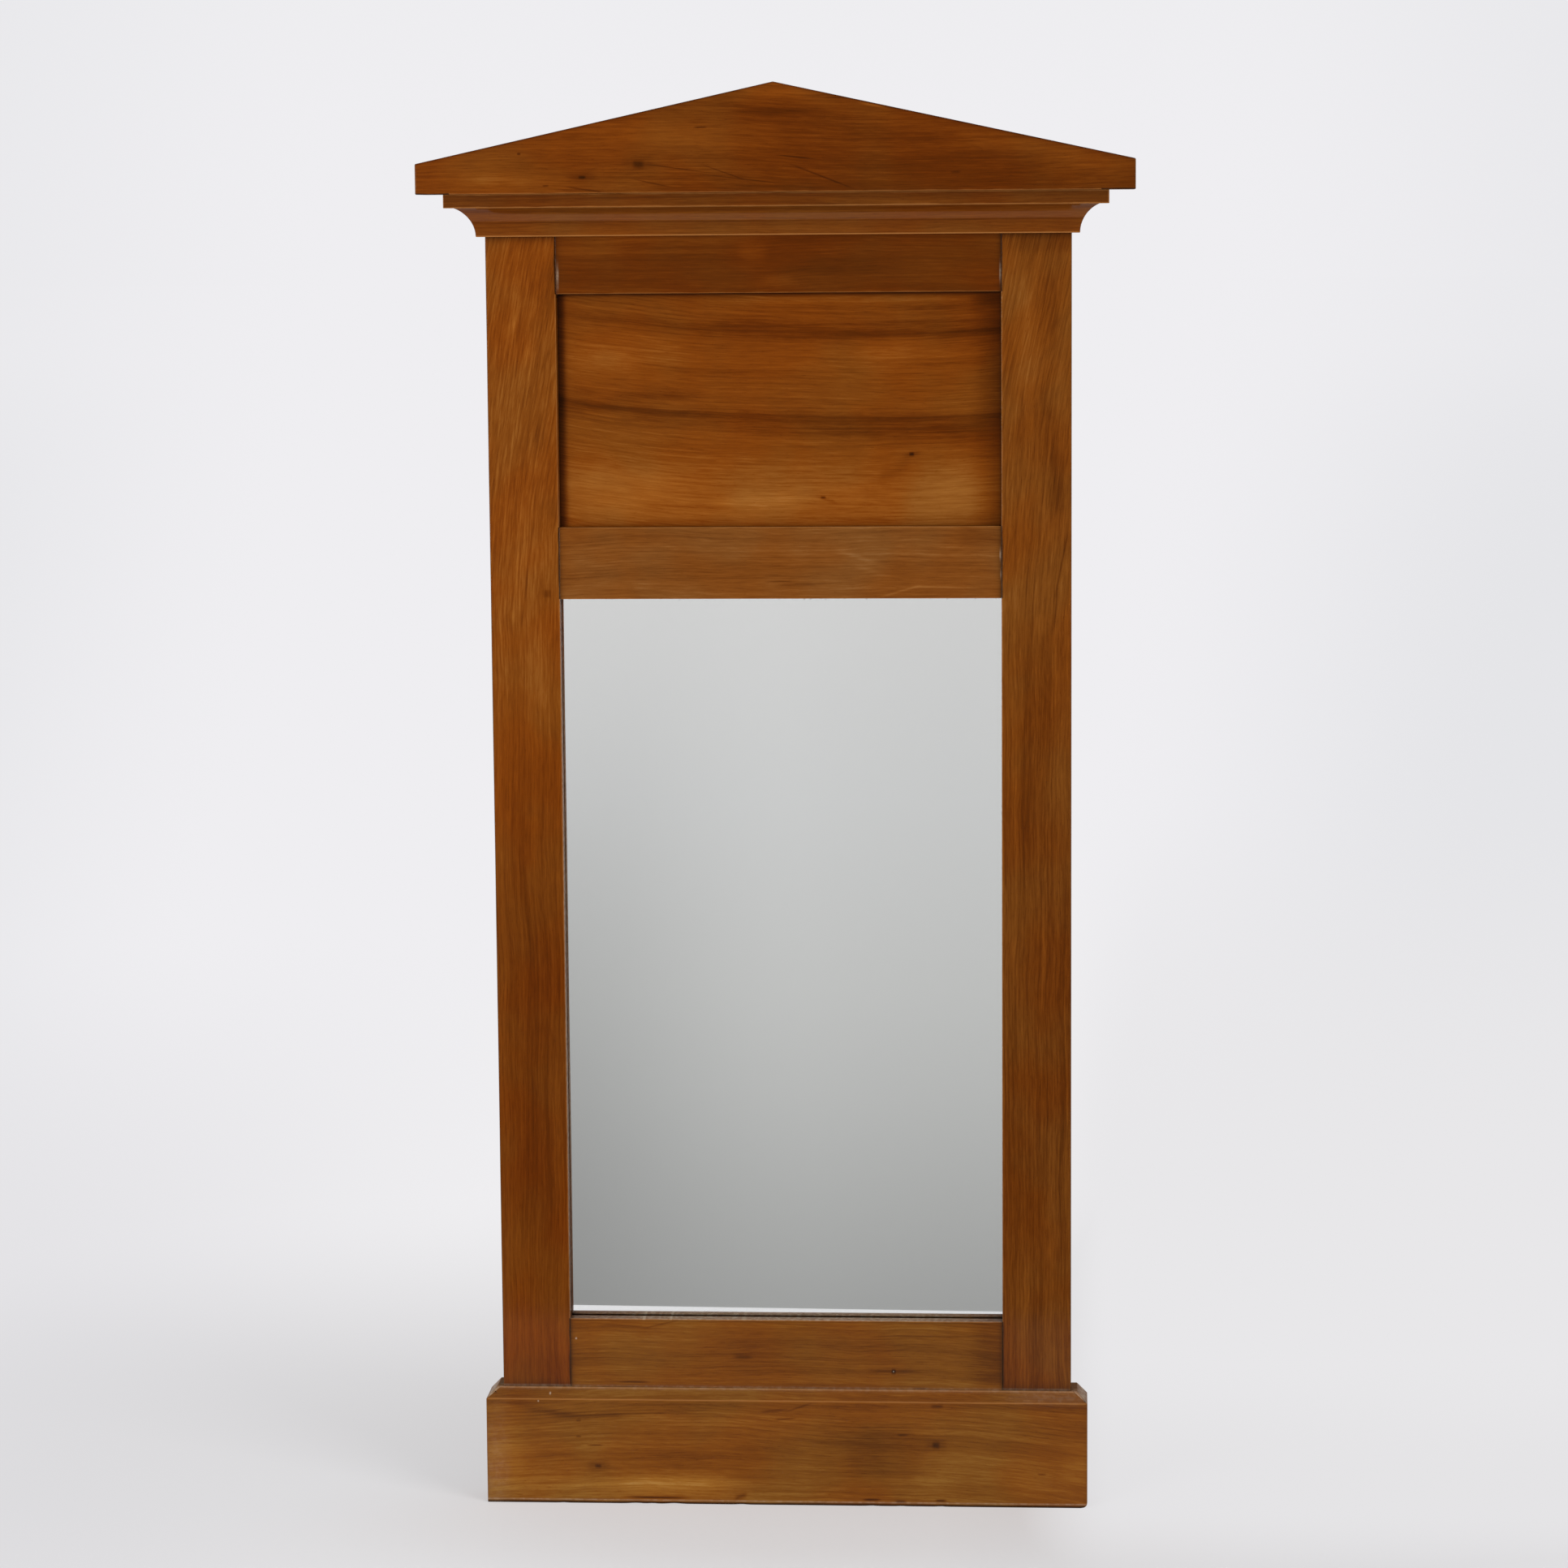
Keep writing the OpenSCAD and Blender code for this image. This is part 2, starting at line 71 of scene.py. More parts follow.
# %% Places
FACE_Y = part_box("top_rail")[0].y
OPEN_X = -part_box("left_stile")[1].x
STILE_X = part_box("right_stile")[1].x
PANEL_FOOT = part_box("middle_rail")[1].z
PANEL_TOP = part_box("top_rail")[0].z
COVE_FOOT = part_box("cove_front")[0].z
GLASS_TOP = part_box("middle_rail")[0].z
GLASS_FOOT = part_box("bottom_rail")[1].z
PLINTH_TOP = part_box("plinth_front")[1].z
# The same places in millimetres, as the marks on the boards are written
OPEN_MM, GLASS_FOOT_MM, GLASS_TOP_MM, PLINTH_TOP_MM = (
    place / MM for place in (OPEN_X, GLASS_FOOT, GLASS_TOP, PLINTH_TOP))
print(f"opening {2 * OPEN_X:.4f} m wide, panel {PANEL_TOP - PANEL_FOOT:.4f} m high, "
      f"glass {GLASS_TOP - GLASS_FOOT:.4f} m high")

# %% [markdown]
# ## Camera
#
# The lens stands a little to the right of the mirror and a little above its middle, and looks slightly
# down. The angles come from the mirror's own straight edges: each edge in the picture gives one line,
# and the place, the angles and the focal length are those that fit all the lines best.

# %% Camera
LENS_MM = 100.777
SENSOR_MM = 36
PITCH_DEG, YAW_DEG, ROLL_DEG = 7.451, 3.669, -0.4457
EYE = Vector((0.21587, FACE_Y - 3.33573, 1.00514))

lens = bpy.data.cameras.new("studio_camera")
lens.lens = LENS_MM
lens.sensor_width = SENSOR_MM
lens.clip_end = 200
camera = linked("studio_camera", lens)
camera.matrix_world = (
    Matrix.Translation(EYE)
    @ Matrix.Rotation(math.radians(YAW_DEG), 4, "Z")
    @ Matrix.Rotation(math.radians(90 - PITCH_DEG), 4, "X")
    @ Matrix.Rotation(math.radians(ROLL_DEG), 4, "Z")
)
bpy.context.scene.camera = camera
bpy.context.scene.view_settings.view_transform = "Standard"
print("camera at", tuple(round(c, 3) for c in EYE))

# %% [markdown]
# ## Short names for shader nodes
#
# A shader is a sheet of nodes joined by wires. Written out in full, each node takes four or five lines.
# A small helper keeps one sheet and adds nodes to it in one line each: every argument may be a plain
# number, a tuple, or the output of another node, which is then wired in.

# %% Node sheet
class Sheet:
    """Adds nodes to one material, world or group. Methods return output sockets."""

    def __init__(self, tree):
        self.tree = tree
        tree.nodes.clear()

    def put(self, socket, value):
        if isinstance(value, bpy.types.NodeSocket):
            self.tree.links.new(value, socket)
        elif value is not None:
            socket.default_value = value

    def node(self, kind, inputs=None, **settings):
        made = self.tree.nodes.new(kind)
        for key, value in settings.items():
            setattr(made, key, value)
        for key, value in (inputs or {}).items():
            self.put(made.inputs[key], value)
        return made

    def math(self, operation, *values):
        return self.node("ShaderNodeMath", dict(enumerate(values)), operation=operation).outputs[0]

    def plus(self, a, b):
        return self.math("ADD", a, b)

    def minus(self, a, b):
        return self.math("SUBTRACT", a, b)

    def times(self, a, b, more=None):
        """a * b, or a * b + more."""
        return self.math("MULTIPLY" if more is None else "MULTIPLY_ADD", a, b, more)

    def vector(self, operation, *values):
        return self.node("ShaderNodeVectorMath", dict(enumerate(values)), operation=operation).outputs[0]

    def join(self, x, y, z):
        return self.node("ShaderNodeCombineXYZ", {"X": x, "Y": y, "Z": z}).outputs[0]

    def split(self, vector):
        return list(self.node("ShaderNodeSeparateXYZ", {0: vector}).outputs)

    def noise(self, vector, scale=1, detail=2, roughness=0.5):
        inputs = {"Vector": vector, "Scale": scale, "Detail": detail, "Roughness": roughness}
        return self.node("ShaderNodeTexNoise", inputs).outputs["Fac"]

    def ease(self, value, low, high, start=0, end=1):
        """Start where value is at low, end where it is at high, and a smooth step between them."""
        inputs = dict(enumerate((value, low, high, start, end)))
        return self.node("ShaderNodeMapRange", inputs, interpolation_type="SMOOTHSTEP").outputs[0]

    def blend(self, factor, first, second, mode="MIX"):
        inputs = {0: factor, 6: first, 7: second}
        return self.node("ShaderNodeMix", inputs, data_type="RGBA", blend_type=mode).outputs[2]

    def ramp(self, value, stops):
        made = self.node("ShaderNodeValToRGB", {0: value})
        line = made.color_ramp
        while len(line.elements) < len(stops):
            line.elements.new(0.5)
        for element, (place, colour) in zip(line.elements, stops):
            element.position = place
            element.color = colour
        return made.outputs[0]

    def group(self, tree, **inputs):
        made = self.node("ShaderNodeGroup", node_tree=tree)
        for key, value in inputs.items():
            self.put(made.inputs[key.replace("_", " ")], value)
        return made.outputs

    def bump(self, height, strength, distance):
        inputs = {"Height": height, "Strength": strength, "Distance": distance}
        return self.node("ShaderNodeBump", inputs).outputs[0]

    def principled(self, inputs):
        """Ends a material's sheet with one Principled shader."""
        shader = self.node("ShaderNodeBsdfPrincipled", inputs)
        self.node("ShaderNodeOutputMaterial", {"Surface": shader.outputs[0]})


def new_material(name):
    """A material with an empty sheet: returns it, its sheet and the place of the shaded point."""
    made = bpy.data.materials.new(name)
    made.use_nodes = True
    sheet = Sheet(made.node_tree)
    return made, sheet, sheet.node("ShaderNodeTexCoord").outputs["Object"]


def new_group(name, **inputs):
    """A node group whose inputs have these names and defaults: returns it, its sheet and its inputs."""
    tree = bpy.data.node_groups.new(name, "ShaderNodeTree")
    for key, default in inputs.items():
        kind = "NodeSocketVector" if isinstance(default, tuple) else "NodeSocketFloat"
        socket = tree.interface.new_socket(key.replace("_", " "), in_out="INPUT", socket_type=kind)
        socket.default_value = default
    sheet = Sheet(tree)
    return tree, sheet, sheet.node("NodeGroupInput").outputs


def end_group(sheet, **outputs):
    """Gives a group its outputs, all of them numbers, by name."""
    for key in outputs:
        sheet.tree.interface.new_socket(key, in_out="OUTPUT", socket_type="NodeSocketFloat")
    sheet.node("NodeGroupOutput", outputs)


def linear(red, green, blue):
    """Scene colour of an sRGB colour given as 0 to 255, by the sRGB curve."""
    part = np.array([red, green, blue]) / 255
    curve = np.where(part <= 0.04045, part / 12.92, ((part + 0.055) / 1.055) ** 2.4)
    return (*curve.tolist(), 1)

# %% [markdown]
# ## Table and studio
#
# The mirror stands on a pale table in a pale studio. The table is one large disc. Near the mirror it is
# a matt surface that takes shadows, mixed with a pale glow that lifts them: painted light. Further away
# the glow takes over and turns into the backdrop's own colour, so no horizon shows.

# %% Table
TABLE_RADIUS = 60.0
DISC_POINTS = 96
TABLE_SHADE, TABLE_SHADOWED_AT_FOOT = linear(247, 246, 247), linear(232, 226, 223)
TABLE_FAR_LEFT, TABLE_LEFT = linear(227, 226, 229), linear(239, 238, 240)
TABLE_RIGHT = linear(232, 231, 233)
BACKDROP, BACKDROP_ASIDE = linear(239, 238, 241), linear(229, 229, 232)
# Ranges for ease, in metres: where it starts and ends, and what it gives there if not 0 and 1
FADE = (0.1, 1.15, 0.45, 1)
PAINTED_LIGHT_X, PAINTED_LIGHT_Y, PAINTED_LIGHT_BACK = (0.10, 0.26), (-0.40, 0), (0.05, 0.45, 0.90, 1)
# The oval round the mirror's foot where the table is painted darker and warmer, a painted contact
# shadow with warm bounce light: its middle lies this far in front
OVAL_AHEAD, OVAL_STRETCH, OVAL_RANGE = 0.05, 0.2, (0.20, 0.05)
RIGHTWARD = (0, 0.2)
# Where the backdrop's colour starts and is reached: on the left, and how much further on the right
BACKDROP_START, BACKDROP_FULL = (0.7, 0.4), (3, 1.5)
ASIDE_NEAR, ASIDE_BEHIND = (30, 8, 0.6, 1), (0.2, 1.2)
# Ranges of direction, x / y from a point that lies CAMERA_OFF in front of the mirror
CAMERA_OFF, LEAST_OFF = 3.3, 1.0
FAR_LEFT, RIGHT = (-0.21, -0.07), (0.03, 0.06)
ASIDE_RIGHT, ASIDE_LEFT = (0.03, 0.13), (-0.16, -0.27)


def sideways_of(sheet, x, y, least):
    """The direction x / y, and from 0 to 1 how far that is aside of the mirror."""
    sides = sheet.math("DIVIDE", x, sheet.math("MAXIMUM", y, least))
    return sides, sheet.plus(sheet.ease(sides, *ASIDE_RIGHT), sheet.ease(sides, *ASIDE_LEFT))


turn = np.arange(DISC_POINTS) / DISC_POINTS * 2 * np.pi
disc = TABLE_RADIUS * np.stack([np.cos(turn), np.sin(turn), 0 * turn], -1)
mesh = bpy.data.meshes.new("table")
mesh.from_pydata(disc.tolist(), [], [list(range(DISC_POINTS))])
mesh.update()
table = linked("table", mesh)

material, sheet, place = new_material("table")
x, y, _ = sheet.split(place)
distance = sheet.math("SQRT", sheet.plus(sheet.times(x, x), sheet.times(y, y)))
# Painted light: to the right of the mirror and behind it, the glow takes over and takes away the mirror's
# shadow
painted_light_right = sheet.times(sheet.ease(x, *PAINTED_LIGHT_X), sheet.ease(y, *PAINTED_LIGHT_Y))
painted_light_right = sheet.times(painted_light_right, sheet.ease(y, *PAINTED_LIGHT_BACK))
fade = sheet.math("MAXIMUM", sheet.ease(distance, *FADE), painted_light_right)
# Painted contact shadow: the table is darker and warmer in an oval round the mirror's foot
v = sheet.plus(y, OVAL_AHEAD)
oval = sheet.math("SQRT", sheet.times(sheet.times(x, x), OVAL_STRETCH, sheet.times(v, v)))
ground = sheet.blend(sheet.ease(oval, *OVAL_RANGE), TABLE_SHADE, TABLE_SHADOWED_AT_FOOT)
matt = sheet.node("ShaderNodeBsdfDiffuse", {"Color": ground}).outputs[0]
# The glow is painted darker towards the far left and the right, and the backdrop towards the sides: a
# painted falloff of the studio light
sides, aside = sideways_of(sheet, x, sheet.plus(y, CAMERA_OFF), LEAST_OFF)
pale = sheet.blend(sheet.ease(sides, *FAR_LEFT), TABLE_FAR_LEFT, TABLE_LEFT)
pale = sheet.blend(sheet.ease(sides, *RIGHT), pale, TABLE_RIGHT)
aside = sheet.times(aside, sheet.ease(distance, *ASIDE_NEAR))
aside = sheet.times(aside, sheet.ease(y, *ASIDE_BEHIND))
distant = sheet.blend(aside, BACKDROP, BACKDROP_ASIDE)
rightward = sheet.ease(x, *RIGHTWARD)
start, full = (sheet.times(rightward, more, left) for left, more in (BACKDROP_START, BACKDROP_FULL))
pale = sheet.blend(sheet.ease(distance, start, full), pale, distant)
far = sheet.node("ShaderNodeEmission", {"Color": pale}).outputs[0]
surface = sheet.node("ShaderNodeMixShader", {0: fade, 1: matt, 2: far}).outputs[0]
print("table:", DISC_POINTS, "points,", len(sheet.tree.nodes), "nodes so far")

# %% [markdown]
# ## What the mirror sees of the floor
#
# A mirror needs something in front of it to reflect: past the table's front edge the studio floor is
# grey, and brighter the further away it is. Only reflections see that part, so the material asks what
# kind of ray has met it. The polish of the wood sees a darker floor than the glass does.

# %% Floor in the glass
SEEN_IN_POLISH, BLACK = (0.10, 0.10, 0.10, 1), (0, 0, 0, 1)
FLOOR_GREYS = [(0.15, linear(171, 171, 170)), (0.245, linear(186, 186, 185)),
               (0.32, linear(197, 197, 196)), (0.40, linear(206, 206, 205)),
               (0.55, linear(217, 217, 217)), (0.72, linear(226, 225, 225))]
DIM_LEFT, DIM_LEFT_SHARE = (0.05, -0.34), (0.72, 0.18, 0.04, 0.34)
DIM_RIGHT = (-0.10, 0.17, 0, 0.06)
TABLE_EDGE_Y, TABLE_EDGE_SLANT = -0.581, 0.03

# Share of the way to the far end that a reflected line of sight has gone when it meets the floor
ahead = sheet.math("MAXIMUM", sheet.minus(FACE_Y, y), 0)
share = sheet.math("DIVIDE", ahead, sheet.plus(ahead, -EYE.y))
sideways = sheet.plus(x, sheet.times(ahead, EYE.x / -EYE.y))
dim = sheet.times(sheet.ease(sideways, *DIM_LEFT), sheet.ease(share, *DIM_LEFT_SHARE))
dim = sheet.plus(dim, sheet.ease(sheet.times(sideways, sheet.minus(1, share)), *DIM_RIGHT))
grey = sheet.blend(dim, sheet.ramp(share, FLOOR_GREYS), BLACK)
past_edge = sheet.math("LESS_THAN", y, sheet.times(x, TABLE_EDGE_SLANT, TABLE_EDGE_Y))
path = sheet.node("ShaderNodeLightPath").outputs
for ray, seen in (("Is Glossy Ray", SEEN_IN_POLISH), ("Is Transmission Ray", grey)):
    shader = sheet.node("ShaderNodeEmission", {"Color": seen}).outputs[0]
    beyond = sheet.times(past_edge, path[ray])
    surface = sheet.node("ShaderNodeMixShader", {0: beyond, 1: surface, 2: shader}).outputs[0]
sheet.node("ShaderNodeOutputMaterial", {"Surface": surface})
table.data.materials.append(material)
print("table edge seen in the glass at", TABLE_EDGE_Y, "m")

# %% [markdown]
# ## Light
#
# A soft lamp stands low on the left, close to the mirror, and a larger one stands high on the right and
# further off: it draws the shadow on the table. The world fills in from everywhere. Together they light
# the front of the mirror about as strongly as plain daylight, so a colour comes out about as it is
# written.

# %% World
CEILING_SEEN = linear(236, 236, 238)
CEILING_IN_POLISH = (0.8, 0.8, 0.8, 1)
SKY_IN_GLASS = [(0, linear(226, 225, 225)), (0.3, linear(206, 206, 206))]
FILL = (0.30, 0.30, 0.30, 1)
LEAST_AHEAD, ASIDE_AHEAD = 0.05, (0.02, 0.06, 0, 0.6)
SEEN_HEIGHTS, POLISH_HEIGHTS = (0, 0.12), (0.25, 0.70)

world = bpy.data.worlds.new("studio")
bpy.context.scene.world = world
world.use_nodes = True
sheet = Sheet(world.node_tree)
path = sheet.node("ShaderNodeLightPath").outputs
x, y, height = sheet.split(sheet.node("ShaderNodeTexCoord").outputs["Generated"])
# The backdrop is painted darker aside of the mirror: a painted falloff of the studio light
_, aside = sideways_of(sheet, x, y, LEAST_AHEAD)
aside = sheet.times(aside, sheet.ease(y, *ASIDE_AHEAD))
backdrop = sheet.blend(sheet.ease(height, *SEEN_HEIGHTS), BACKDROP, CEILING_SEEN)
backdrop = sheet.blend(aside, backdrop, BACKDROP_ASIDE)
in_polish = sheet.blend(sheet.ease(height, *POLISH_HEIGHTS), SEEN_IN_POLISH, CEILING_IN_POLISH)
shown = sheet.blend(path["Is Glossy Ray"], FILL, in_polish)
shown = sheet.blend(path["Is Transmission Ray"], shown, sheet.ramp(height, SKY_IN_GLASS))
shown = sheet.blend(path["Is Camera Ray"], shown, backdrop)
sky = sheet.node("ShaderNodeBackground", {"Color": shown, "Strength": 1}).outputs[0]
sheet.node("ShaderNodeOutputWorld", {"Surface": sky})
print("studio:", len(world.node_tree.nodes), "nodes")

# %% Lamps
AIM = Vector((0, 0, 0.58))
LAMPS = {
    "lamp_left": (Vector((-1.3, -2, 0.85)), 1.1, 33),
    "lamp_right": (Vector((2.6, -2.3, 2.3)), 1.8, 56),
}
for name, (place, size, watts) in LAMPS.items():
    lamp = bpy.data.lights.new(name, "AREA")
    lamp.shape = "SQUARE"
    lamp.size = size
    lamp.energy = watts
    holder = linked(name, lamp)
    holder.location = place
    holder.rotation_euler = (AIM - place).to_track_quat("-Z", "Y").to_euler()
print("lamps:", ", ".join(LAMPS))

# %% [markdown]
# ## Grain as a group
#
# Every board was sawn from a log, so its figure is a slice through long, nearly parallel layers. The
# group takes a place on the board as a length along the grain, one across it and one into the wood. It
# bends the across value by a gentle curve and by slow noise, and then draws the lines from the bent
# value: broad streaks, growth lines, threads, fibres and pores. Noise that is stretched along the
# grain gives lines that never repeat. Shorter strokes, the curl, gleam where the fibres rise and dip.

# %% Grain group
# Layers of noise: scale along the grain and across it, both per metre, then detail and roughness
SLOW, QUICK, MOTTLE = (5, 9, 1, 0.5), (26, 45, 1, 0.5), (13, 16, 2, 0.5)
STREAKS, THREADS, FIBRES = (2.2, 85, 4, 0.62), (11, 520, 3, 0.6), (60, 1900, 2, 0.55)
PORES, FLECKS, CURL = (230, 1500, 1, 0.55), (75, 640, 2, 0.6), (34, 620, 3, 0.7)
YEARS, LATE_WOOD = (1.2, 40, 1, 0.55), (3, 60, 1, 0.55)
SLOW_BEND, QUICK_BEND = 16 * MM, 2.2 * MM
UNEVEN_YEARS, LATE_POWER = 5, 5
LATE_RANGE, PORE_RANGE = (0.35, 0.65), (0.64, 0.76)

grain_tree, sheet, given = new_group(
    "grain", Along=0, Across=0, Depth=0, Seed=0, Apex=0, Slope=0, Curve=0, Least=-10,
    Waviness=1, Ring_Spacing=0.0035)
along, depth, seed = given["Along"], given["Depth"], given["Seed"]
reach = sheet.math("MAXIMUM", sheet.minus(along, given["Apex"]), given["Least"])
flow = sheet.times(reach, sheet.times(reach, given["Curve"], given["Slope"]), given["Across"])


def layer(across, along_scale, across_scale, detail, roughness):
    """Noise with one scale along the grain and another across it and into the wood."""
    place = sheet.join(sheet.times(along, along_scale, seed), sheet.times(across, across_scale),
                       sheet.times(depth, across_scale))
    return sheet.noise(place, detail=detail, roughness=roughness)


slow = sheet.times(sheet.minus(layer(flow, *SLOW), 0.5), SLOW_BEND)
quick = sheet.times(sheet.minus(layer(flow, *QUICK), 0.5), QUICK_BEND)
bent = sheet.plus(flow, sheet.times(sheet.plus(slow, quick), given["Waviness"]))
years = sheet.math("DIVIDE", bent, given["Ring Spacing"])
years = sheet.plus(years, sheet.times(layer(bent, *YEARS), UNEVEN_YEARS))
late = sheet.math("POWER", sheet.math("FRACT", years), LATE_POWER)
end_group(
    sheet, Bent=bent, Streaks=layer(bent, *STREAKS), Threads=layer(bent, *THREADS),
    Lines=sheet.times(late, sheet.ease(layer(bent, *LATE_WOOD), *LATE_RANGE)),
    Fibres=layer(bent, *FIBRES), Flecks=layer(bent, *FLECKS), Curl=layer(bent, *CURL),
    Mottle=layer(flow, *MOTTLE), Pores=sheet.ease(layer(bent, *PORES), *PORE_RANGE))
print("grain group:", len(grain_tree.nodes), "nodes")

# %% [markdown]
# ## Soft spots and distances
#
# A knot, a dark streak, a golden gleam and a painted shadow are all the same shape, a soft oval: its
# mask is exp(-(a⁴ + b²)), where a and b are the distances from its middle along and across the grain,
# each divided by the spot's half size. The spot may lean, so that it climbs by a slope along the grain.
# A second group measures how far a point is from the sides of a box, which finds the arrises of a board
# and the corners where polish and dust gather and painted shade falls.

# %% Spot group
spot_tree, sheet, given = new_group("soft_spot", Along=0, Across=0, Middle_Along=0, Middle_Across=0,
                                    Half_Length=1, Half_Width=1, Slope=0)
reach = sheet.minus(given["Along"], given["Middle Along"])
climb = sheet.times(reach, given["Slope"], given["Middle Across"])
a = sheet.math("DIVIDE", reach, given["Half Length"])
b = sheet.math("DIVIDE", sheet.minus(given["Across"], climb), given["Half Width"])
a = sheet.times(a, a)
oval = sheet.plus(sheet.times(a, a), sheet.times(b, b))
end_group(sheet, Mask=sheet.math("EXPONENT", sheet.times(oval, -1)))
print("spot group:", len(spot_tree.nodes), "nodes")

# %% Distance group
distance_tree, sheet, given = new_group("box_distance", Place=(0, 0, 0), Low=(0, 0, 0), High=(1, 1, 1))
inward = sheet.vector("MINIMUM", sheet.vector("SUBTRACT", given["Place"], given["Low"]),
                      sheet.vector("SUBTRACT", given["High"], given["Place"]))
p, q, r = sheet.split(sheet.vector("ABSOLUTE", inward))
least = sheet.math("MINIMUM", sheet.math("MINIMUM", p, q), r)
most = sheet.math("MAXIMUM", sheet.math("MAXIMUM", p, q), r)
total = sheet.plus(sheet.plus(p, q), r)
end_group(sheet, Nearest=least, Second=sheet.minus(sheet.minus(total, least), most))
print("distance group:", len(distance_tree.nodes), "nodes")

# %% [markdown]
# ## Polished fruitwood
#
# The colour is worked out in two steps. First everything that is known about a point is added up to one
# number, its tone: streaks, fibres, gleams, knots. Then a ramp turns the tone into a colour, because in
# one species of wood dark always means redder and light always means more golden. The arrises are
# rubbed paler and carry a painted highlight, and dust, old polish and painted shade darken the corners.
# A clear coat with a soft gloss lies on top.

# %% Fruitwood
TONES = [(0, linear(30, 14, 4)), (0.2, linear(60, 26, 3)), (0.4, linear(90, 41, 5)),
         (0.6, linear(118, 60, 11)), (0.8, linear(143, 85, 28)), (1, linear(172, 118, 62))]
RUBBED_AND_HIGHLIT, GRIME_AND_SHADE, DUST_AND_SHEEN = linear(158, 104, 52), linear(30, 16, 6), linear(196, 176, 150)
REDDER, MORE_GOLDEN = (1.02, 0.96, 0.85, 1), (0.96, 1.06, 1.30, 1)
DIRECTIONS = {"x": (0, 2, 1), "z": (2, 0, 1), "y": (1, 2, 0)}
# A size past every board, in metres, and in millimetres for a mark that runs right across
WIDE = 10.0
FULL = WIDE / MM
FOLLOW = None
# Scales of noise, per metre: patches of wear, grime and painted light, crumbs of dust and the slow
# waves of the surface
PATCHES, CRUMBS, WAVES = 55, 260, 38
CRUMB_RANGE, HUE_RANGE = (0.42, 0.66, 0.5, 1), (0.36, 0.64)
# Rubbing with its painted highlight, and joint grime, reach as far as the patchy noise times the first
# plus the second
RUB_HIGHLIGHT_REACH, RUB_HIGHLIGHT_FULL = (2.6 * MM, -0.2 * MM), 0.2 * MM
JOINT_REACH, JOINT_FULL, JOINT_DEPTH = (4.2 * MM, -0.6 * MM), 0.1 * MM, 0.9
CURLED_SHARE, GRIME_AND_SHADE_ROUGHNESS, COAT_ROUGHNESS = 0.7, 0.35, 0.10


